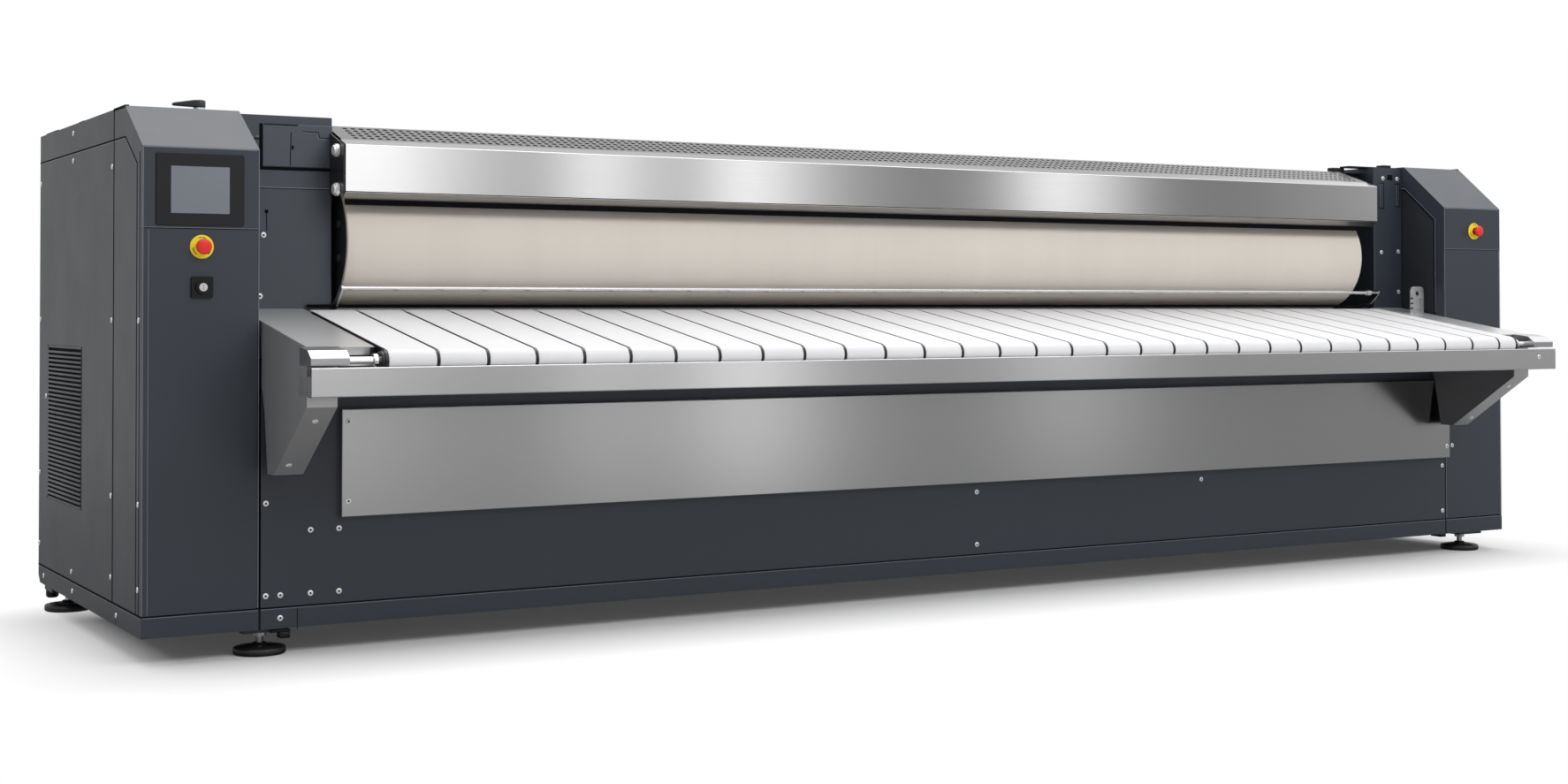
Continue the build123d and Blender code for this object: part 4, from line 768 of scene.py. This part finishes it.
FRONT_SCREWS = [
    (16 - INNER, 342), (16 - INNER, 136), (49 - INNER, 136), (49 - INNER, 85), (872, 278),
    (INNER + 28, 340)] + [
    (x, z) for x in (118 - INNER, 184 - INNER, 69, INNER - 18) for z in (278, 136)]
POST_SCREWS = [
    (61 - INNER, 947), (53 - INNER, 805), (INNER - 82, 1193), (INNER - 18, 1193),
    (INNER - 14, 958), (INNER - 14, 828), (INNER - 91, 955)]


def screw_places():
    """Every panel screw: its seat and the way that it looks."""
    for side in (-1, 1):
        for y, z in SIDE_SCREWS:
            yield (side * HALF, y, z), (side, 0, 0)
        # on the table's sloping side covers, by shares of their length and width
        for along, across in ((0.2, 0.5), (0.85, 0.35)):
            yield ((side * (INNER - 6 - across * 66), -325 + along * 234, 568 - along * 157),
                   (0, -157, -234))
    for x, z in FRONT_SCREWS:
        yield (x, 0, z), FORWARD
    for x in (184 - INNER + 15, INNER - 4 - 15):
        for z in (340, 520):
            yield (x, -20, z), FORWARD
    yield (INNER + 11 - 73, -413 + 2.5, 629), FORWARD
    for x, z in POST_SCREWS:
        yield (x, POST_FRONT, z), FORWARD


def screws():
    """Domed heads with a socket, and the bonnet's bush ends; black at the socket's floor is painted
    shade.
    """
    heads, sockets = bmesh.new(), bmesh.new()
    rng = random.Random(11)
    for place, normal in screw_places():
        matrix = facing(place, normal) @ Matrix.Rotation(rng.uniform(0, math.pi), 4, "Z")
        lathe(heads, SCREW_HEAD, matrix, 18)
        lathe(sockets, SCREW_SOCKET, matrix, 6)
    for side in (-1, 1):
        for z in (1054, 1145):
            lathe(heads, BUSH, facing((side * 1676, 112, z), (side, 0, 0)), 24)
    piece("screw_heads", heads, "machine", "screw_steel", ["panel_screws"], "bright_steel")
    # black socket floors: painted shade in the recesses
    piece("screw_sockets", sockets, **BLACK)


screws()


# ------------ seams and marks on the sheets
def side_seams(dark, light, side, bend):
    """Joints on a cabinet's outer side, trims on its roof, and the edge of its inner cheek; the
    dark line by the front bend is painted shade and the light lines are painted highlights.
    """
    x, band = side * HALF, HEIGHT - 70.3
    for mesh, width, line in (
            (dark, 4, [(DEPTH, band), (161, band), (50, bend - 35.5), (50, RAIL_TOP)]),
            (light, 1.6, [(DEPTH, band - 3), (162, band - 3), (53, bend - 37.5)]),
            (dark, 6, [(272, HEIGHT - 2), (272, RAIL_TOP)]),
            (light, 2, [(277, band - 5), (277, 1105)]),
            # painted shade at the front corner's bend
            (dark, 3, [(24, bend - 12), (24, RAIL_TOP)]),
            (dark, 4.5, [(2, RAIL_TOP + 1), (DEPTH - 1, RAIL_TOP + 1)]),
            (light, 1.6, [(2, RAIL_TOP - 2.5), (DEPTH - 2, RAIL_TOP - 2.5)]),
            (dark, 2.5, [(235, 94), (235, 66)]),
            (dark, 4, [(165, HEIGHT - 2.2), (280, HEIGHT - 2.2)])):
        ribbon(mesh, [(x, y, z) for y, z in line], (side, 0, 0), width)
    for near, far, y0, y1, rise in ((0, 9, 165, 280, 2.5), (4, 26, 612, 668, 3),
                                    (4, 30, 925, 1065, 4)):
        box(dark, (side * (HALF - near), y0, HEIGHT), (side * (HALF - far), y1, HEIGHT + rise), 0.8)
    cheek = [(176, HEIGHT - 70), (161, HEIGHT - 70), (38, bend - 35), (38, 762)]
    for mesh, width, dy, dz, proud in ((light, 1.8, 0, 0, 0.4), (dark, 4.5, 3.5, -2.5, 0.3)):
        ribbon(mesh, [(side * INNER, y + dy, z + dz) for y, z in cheek], (-side, 0, 0), width,
               proud, sunk=1.8)


def post_marks(dark, light):
    """Cover edges, slots and latches on the fronts of both posts; their light lines are painted
    highlights, and the dark outlines are partly painted shade.
    """
    post, plate = POST_FRONT, POST_FRONT - 2.5
    for mesh, width, y, proud, *points in (
            (dark, 7, post, 1.6, (-1839.5, 1206), (-1839.5, 1102.5), (-1670, 1102.5)),
            (dark, 2.4, plate, 0.3, (-1834, 1204.6), (-1752, 1204.6)),
            (dark, 2, plate, 0.3, (-1769, 1188), (-1771, 1110)),
            (dark, 1.8, plate, 0.3, (-1742, 1191), (-1704, 1190), (-1701, 1178), (-1672, 1176)),
            (light, 1, plate, 0.3, (-1742, 1189), (-1706, 1188), (-1703, 1176), (-1672, 1174)),
            (dark, 3, post, 0.5, (-1857, 1170), (-1843, 1170.5)),
            (light, 3, post, 0.5, (-1850, 1176), (-1844, 1176)),
            (dark, 1.6, post, 0.3, (-1890, 1056), (-1673, 1056)),
            (light, 1.6, post, 0.3, (-1890, 1058.3), (-1673, 1058.3)),
            (dark, 2, post, 0.5, (-1826, 1000), (-1825, 957))):
        front_line(mesh, width, *points, y=y, proud=proud)
    box(dark, (-1767.5, plate - 1.6, 1148), (-1763, plate, 1157), 1)
    disc(dark, (-1826, post, 1002), 4.8)
    box(dark, (1832, post - 0.4, 1188), (1855, post, 1205))
    for x0, x1, z0, z1 in ((1796, 1816, 1096, 1178), (1870, 1889, 1103, 1177)):
        front_line(dark, 2.4, (x0, z0), (x0, z1), (x1, z1), (x1, z0), (x0, z0), y=post)
        front_line(light, 1.4, (x0 + 2.4, z0 + 3), (x0 + 2.4, z1 - 3), y=post, proud=0.4)


def seams():
    """Dark joints between the sheets, partly painted shade in gaps and bends, and painted
    highlights on the bent edges that the light catches.
    """
    dark, light = bmesh.new(), bmesh.new()
    for side, bend in BENDS:
        side_seams(dark, light, side, bend)
    for x0, x1, seam, bend in ((-HALF, -INNER, 952, BENDS[0][1]), (INNER, HALF, 961, BENDS[1][1])):
        front_line(dark, 2, (x0 + 3, seam - 0.3), (x1 - 3, seam - 0.3))
        front_line(light, 1.2, (x0 + 3, seam + 1.4), (x1 - 3, seam + 1.4))
        front_line(light, 1.8, (x0 + 2, bend - 1.5), (x1 - 2, bend - 1.5))
        for x in (x0 + 1.2, x1 - 1.2):
            front_line(light, 1.6, (x, RAIL_TOP + 4), (x, bend - 2))
    for x0, x1 in ((2 - HALF, -INNER - 2), (INNER + 2, HALF - 2), (5 - INNER, INNER - 5)):
        front_line(dark, 3.5, (x0, RAIL_TOP + 1), (x1, RAIL_TOP + 1), proud=0.5)
        front_line(light, 1.4, (x0, RAIL_TOP - 2), (x1, RAIL_TOP - 2), proud=0.5)
    front_line(light, 1, (13 - HALF, RAIL_TOP + 4), (13 - HALF, 948))
    # painted shade: dark line at the bonnet's bend above its lip
    front_line(dark, 1.8, (-1672, 1047.5), (1672, 1047.5), y=71)
    front_line(dark, 1.6, (-1806, RAIL_TOP - 4), (-1806, 56))
    # black blocks in the open joints beside the lower panel: painted shade
    for side in (-1, 1):
        for y0, y1, top in ((3, 12, 560), (DEPTH - 12, DEPTH - 3, 720)):
            box(dark, (side * (INNER + 0.2), y0, RAIL_TOP + 2),
                (side * (INNER - SHADOW_GAP), y1, top))
    post_marks(dark, light)
    piece("sheet_joints", dark, **BLACK)
    # the light lines: painted highlights on bent edges
    piece("sheet_edges", light, "machine", "painted_edge_highlight", slot="cabinet_paint", smooth=False)


seams()


# ------------ louvred grille
GRILLE_Y, GRILLE_Z = (606.6, 1009.4), (290.6, 684.4)
GRILLE_BORDER, GRILLE_PITCH = 6, 11
LOUVRE = [(0, 5.4), (1.2, 4.2), (2, 2.4), (2.35, 0.4), (1.6, 0.2), (1.2, 1.8), (0.3, 3.4),
          (-1, 4.6)]       # outward and up


def vent_grille():
    """Frame with pressed louvres, and a black screen behind them that paints the shade inside the
    vent.
    """
    mesh = bmesh.new()
    (y0, y1), (z0, z1), rim = GRILLE_Y, GRILLE_Z, GRILLE_BORDER
    for low, high in (((y0, z0), (y1, z0 + rim)), ((y0, z1 - rim), (y1, z1)),
                      ((y0, z0), (y0 + rim, z1)), ((y1 - rim, z0), (y1, z1))):
        box(mesh, (-HALF, *low), (-HALF + 2, *high))
    for index in range(int((z1 - z0 - 2 * rim) / GRILLE_PITCH)):
        z = z0 + rim + (index + 0.5) * GRILLE_PITCH
        loft(mesh, [[mesh.verts.new(spot(-HALF - out * (share if out > 0 else 1), y, z + rise))
                     for out, rise in LOUVRE]
                    for y, share in ((y0 + 5.5, 0.1), (y0 + 12, 1), (y1 - 12, 1),
                                     (y1 - 5.5, 0.1))])
    piece("louvres", mesh, "machine", "cabinet_paint", ["vent_grille"], "cabinet_paint")
    # black screen and edge line: painted shade inside and beside the vent
    screen = bmesh.new()
    box(screen, (-HALF + 2.5, y0 + 3, z0 + 3), (-HALF + 3.5, y1 - 3, z1 - 3))
    ribbon(screen, [(-HALF, y0, z1), (-HALF, y0, z0)], (-1, 0, 0), 4)
    piece("grille_screen", screen, **BLACK)


vent_grille()


# ------------ feet
FOOT_PAD = [(0, 0), (55, 0), (58, 2), (58.5, 4), (58.5, 13), (57, 15.5),
            (52.5, 16.8), (50.5, 16), (48.5, 16.8), (43, 18.4), (41, 17.6), (39, 18.6),
            (31, 20.4), (29, 19.8), (26, 20.8), (17, 22), (14.5, 25), (13, 26),
            (0, 26)]
FOOT_PLACES = [(22 - INNER, 67), (HALF - 122, 67), (50 - HALF, DEPTH - 128),
               (HALF - 50, DEPTH - 128)]


def feet():
    mesh = bmesh.new()
    for x, y in FOOT_PLACES:
        lathe(mesh, FOOT_PAD, facing((x, y, 0), UP), 56)
    piece("levelling_pads", mesh, "machine", "foot_rubber", ["foot_pads"], "foot_rubber")


feet()


# ------------ nose roller and belt guides
NOSE_Y, NOSE_Z = NOSE[0] - FRONT, NOSE[1]
TUBE_RADIUS = 22
COLLAR = [(10.2, 0), (15, 0), (16, 1), (16, 9), (15, 10), (10.2, 10)]


def nose_roller():
    """Black coated roller on a bright shaft with two collars."""
    left, right, tips, bore = -1748, 1761, 1870, 10.1
    coated = bmesh.new()
    r, length = TUBE_RADIUS, right - left
    tube = [(bore, 0), (r - 2, 0), (r, 2), (r, length - 2), (r - 2, length), (bore, length)]
    lathe(coated, tube, facing((left, NOSE_Y, NOSE_Z), ALONG), 48, closed=True)
    piece("nose_roller_tube", coated, "nose_roller", "roller_black", ["nose_roller"], "black_metal")
    shaft = bmesh.new()
    lathe(shaft, [(9, 0), (10, 1), (10, 2 * tips - 1), (9, 2 * tips)],
          facing((-tips, NOSE_Y, NOSE_Z), ALONG), 32)
    for x, sign in ((left - 14.5, 1), (right + 14.5, -1)):
        lathe(shaft, COLLAR, facing((x, NOSE_Y, NOSE_Z), (sign, 0, 0)), 32, closed=True)
    piece("nose_roller_shaft", shaft, "nose_roller", "shaft_steel", slot="bright_steel")


def table_height(y):
    """Height of the table's side covers; y counts from the cabinets' front."""
    r0, _, heading, lean = upper_run(BELT)
    turn = heading + math.pi / 2 + lean
    y0, z0 = NOSE_Y + r0 * math.cos(turn), NOSE_Z + r0 * math.sin(turn)
    return z0 + (y - y0) * math.tan(heading + lean) - 3


def belt_guides():
    """Black strips that rise beside and between the belts, flanges on the nose roller, and a black
    bar across the belts' rear end as painted shadow of the nip.
    """
    strips, flanges = bmesh.new(), bmesh.new()
    start, stop = NOSE_Y + 4, DRIVE[0] - FRONT - 30
    top, bottom, half, rim = 2.4, -6, 3.5, NOSE_RADIUS + 2
    outline = [(y, table_height(y) + rise)
               for y, rise in ((start, bottom), (stop, bottom), (stop, top), (start, top))]
    for index in range(BELT_COUNT):
        x = FIRST_BELT + index * BELT_PITCH - (BELT_PITCH - BELT_WIDTH) / 2
        prism(strips, outline, x - half, x + half)
        lathe(flanges, [(TUBE_RADIUS, -half), (rim, -half), (rim, half), (TUBE_RADIUS, half)],
              facing((x, NOSE_Y, NOSE_Z), ALONG), 40, closed=True)
    # black bar at the nip: painted shadow
    height = table_height(168) + 3.4
    last = FIRST_BELT + (BELT_COUNT - 1) * BELT_PITCH + LAST_WIDTH
    box(strips, (FIRST_BELT, 166, height), (last, 170, height + 8), 0.8)
    piece("belt_guides", strips, **BLACK)
    piece("nose_flanges", flanges, "nose_roller", "roller_black", slot="black_metal")


nose_roller()
belt_guides()


# ------------ bonnet lining
def bonnet_lining():
    """Black lining behind the perforations as painted shade inside the bonnet, a black seal under
    the lip as painted shadow on the roll, and a darker steel strip on the lip as painted shade.
    """
    mesh = bmesh.new()
    outer = [(76, 1049), (76, 1153), (111, 1165), (227, 1205.6), (232, 1207)]
    inner = [(y + 1.5, z - 1.5) for y, z in reversed(outer)]
    prism(mesh, outer + inner, POST_LEFT_X + 1, 1671)
    # black seal under the lip: painted shadow over the roll's top
    box(mesh, (POST_LEFT_X + 3, 95, 1017.5), (1672, 98, 1031.5), 0.8)
    piece("bonnet_lining", mesh, **BLACK)
    # darker steel over the lip: painted shade
    lip = bmesh.new()
    ribbon(lip, [(-1672, 83.2, 1038.2), (1672, 83.2, 1038.2)], (0, -16, -24), 26,
           proud=0.4, sunk=0.2)
    piece("bonnet_lip_strip", lip, "machine", "lip_painted_shade_steel", slot="stainless", smooth=False)


bonnet_lining()


# ------------ small fittings
STOP_X, STOP_Y, STOP_SHEET = (INNER - 88, INNER - 28), 60, 3
STOP_FOOT = table_height(STOP_Y)
STOP_TOP = STOP_FOOT + 86
STOP_HOLE = (INNER - 58, STOP_TOP - 22, 7)      # x, z and radius
GLAND = [(7, 0), (12, 0), (15.5, 4), (16, 5), (16, 20), (13.5, 21.5),
         (13.5, 24), (16, 25.5), (16, 36), (7, 36)]


def table_stop():
    """Bent bracket on the table: an upright sheet with cut corners and a hole, and its foot."""
    mesh = bmesh.new()
    (x0, x1), foot, top, corner, small = STOP_X, STOP_FOOT, STOP_TOP, 12, 12 * 0.3
    outline = [(x0, foot), (x1, foot), (x1, top - corner), (x1 - small, top - small),
               (x1 - corner, top), (x0 + corner, top), (x0 + small, top - small),
               (x0, top - corner)]
    cx, cz, radius = STOP_HOLE
    rims, edges = [], []
    for y in (STOP_Y, STOP_Y + STOP_SHEET):
        rims.append([mesh.verts.new(spot(cx + radius * c, y, cz + radius * s))
                     for c, s in circle(24)])
        edges.append([mesh.verts.new(spot(x, y, z)) for x, z in outline])
        loops = [mesh.edges.new((a, b)) for ring in (rims[-1], edges[-1])
                 for a, b in zip(ring, ring[1:] + ring[:1])]
        bmesh.ops.triangle_fill(mesh, edges=loops, use_beauty=True)
    skin(mesh, rims)
    skin(mesh, edges)
    near, far, sheet = STOP_Y + STOP_SHEET, 84, STOP_SHEET
    prism(mesh, [(near, foot), (near, foot + sheet), (far, table_height(far) + sheet),
                 (far, table_height(far))], x0, x1)
    piece("table_stop", mesh, "machine", "galvanised", ["small_brackets"], "galvanised",
          smooth=False)


def black_fittings():
    """Marks on the stop and painted shade behind its hole, latches on the roof, a bar on the post,
    lugs and the supply gland.
    """
    mesh = bmesh.new()
    x0 = STOP_X[0]
    for z in (STOP_FOOT + 14, STOP_FOOT + 30, STOP_FOOT + 46):
        box(mesh, (x0 - 0.4, STOP_Y - 0.5, z), (x0 + 11, STOP_Y + 0.2, z + 5), 0.2)
    # black disc behind the hole: painted shade
    disc(mesh, (STOP_HOLE[0], STOP_Y + STOP_SHEET + 0.6, STOP_HOLE[1]), STOP_HOLE[2] + 1.5)
    for bevel, low, high in (
            (1.2, (1690, 204, POST_TOP), (INNER - 4, 246, POST_TOP + 5)),
            (1.5, (INNER - 46, 208, POST_TOP + 5), (INNER - 12, 240, POST_TOP + 13)),
            (1.5, (POST_RIGHT_X - 120, 236.5, 1212.2), (POST_RIGHT_X - 70, 262, POST_TOP)),
            (1, (INNER - 4, 20, 50), (INNER + 20, 60, 62)),
            (1, (-1862, 14, 51), (-1817, 44, 57)),
            (2, (-1841, 14, 37), (-1817, 40, 51.5))):
        box(mesh, low, high, bevel)
    lathe(mesh, GLAND, facing((24 - HALF, DEPTH - 58, 26), UP), 24, closed=True)
    piece("black_fittings", mesh, "machine", "black_plastic", slot="black_plastic")


table_stop()
black_fittings()


# ------------ emergency stops, outward from the panel
ESTOP_PLACES = (("left", -2022, 912), ("right", 2030, 1020))
ESTOP_COLLAR = [(11.2, 0), (25.8, 0), (26.3, 0.8), (25.6, 1.9), (20, 3.3), (15.2, 3.8),
                (14.5, 5), (11.8, 5), (11.2, 4.4)]
ESTOP_BARREL = [(11.2, -45), (12.5, -45), (12.5, -0.2), (11.2, -0.2)]
ESTOP_NECK = [(0, -35), (9.5, -35), (9.5, 6), (10.5, 6.6), (10.5, 17.1), (0, 17.1)]
ESTOP_HEAD = [(0, 17.2), (15.4, 17.2), (16.8, 18.2), (17.2, 20.2), (16.6, 22.8), (14.2, 25.2),
              (9.5, 26.6), (4, 27), (0, 27)]
MARK_RADIUS, MARK_PROUD = 20.5, 3.15       # middle of the marks on the collar


def emergency_stops():
    """Domed yellow collars with their marks, and mushroom heads on a narrower neck."""
    collars, marks = bmesh.new(), bmesh.new()
    for name, x, z in ESTOP_PLACES:
        matrix = facing((x, 0, z), FORWARD)
        for profile in (ESTOP_COLLAR, ESTOP_BARREL):
            lathe(collars, profile, matrix, 48, closed=True)
        for centre in (90, 210, 330):
            for step, length in ((-14, 5.4), (0, 3), (14, 5.4)):
                turn = math.radians(centre + step)
                place = spot(x + MARK_RADIUS * math.cos(turn), -MARK_PROUD,
                             z + MARK_RADIUS * math.sin(turn))
                size = Matrix.Diagonal((1.6 * MM, 0.8 * MM, length * MM, 1))
                bmesh.ops.create_cube(marks, size=1.0, matrix=Matrix.Translation(place)
                                      @ Matrix.Rotation(-turn, 4, "Y") @ size)
        neck, head = bmesh.new(), bmesh.new()
        lathe(neck, ESTOP_NECK, matrix, 40)
        lathe(head, ESTOP_HEAD, matrix, 48)
        piece(f"estop_neck_{name}", neck, f"estop_{name}_plunger", "red_neck_painted_shade",
              [f"estop_stem_{name}"], "red_plastic")
        piece(f"estop_mushroom_{name}", head, f"estop_{name}_button", "red_plastic",
              [f"estop_head_{name}"], "red_plastic")
    piece("estop_discs", collars, "machine", "yellow_plastic", ["estop_collars"], "yellow_plastic")
    piece("estop_marks", marks, "machine", "black_plastic", slot="black_plastic", smooth=False)


emergency_stops()


# ------------ damper lever, up from the roof
LEVER_X, LEVER_Y = -1950, 300
LEVER_BOSS = [(0, 17), (13.5, 17), (14.5, 18), (14.5, 31), (13, 33.2), (9.5, 34),
              (0, 34)]
LEVER_PIN = [(0, -20), (6, -20), (6, 0.2), (9, 0.2), (9, 17.2), (0, 17.2)]
LEVER_NUT = [(9.2, 5), (13, 5), (13.6, 6), (13.6, 15.6), (13, 16.6), (9.2, 16.6)]
# along the arm: place from the boss, half width, underside and top
LEVER_ARM = [(0, 13.5, 17.5, 33.6), (-14, 12, 17.5, 33.4), (-34, 10, 18, 30),
             (-56, 8.5, 18.6, 26.4), (-61, 7, 19.2, 25.4), (-62, 5.5, 20, 24.6)]


def damper_handle():
    """Cast lever that tapers away from its boss, over a bright nut."""
    lever, nut = bmesh.new(), bmesh.new()
    matrix = facing((LEVER_X, LEVER_Y, HEIGHT), UP)
    lathe(lever, LEVER_BOSS, matrix, 36)
    lathe(lever, LEVER_PIN, matrix, 24)
    rings, soft = [], 1.6
    for dx, reach, low, high in LEVER_ARM:
        outline = [(-reach, low + soft), (-reach + soft, low), (reach - soft, low),
                   (reach, low + soft), (reach, high - soft), (reach - soft, high),
                   (-reach + soft, high), (-reach, high - soft)]
        rings.append([lever.verts.new(spot(LEVER_X + dx, LEVER_Y + across, HEIGHT + rise))
                      for across, rise in outline])
    loft(lever, rings)
    piece("damper_handle", lever, "damper", "dark_handle", ["damper_lever"], "black_metal")
    lathe(nut, LEVER_NUT, matrix, 6, closed=True)
    piece("damper_nut", nut, "damper", "screw_steel", slot="bright_steel", smooth=False)


damper_handle()
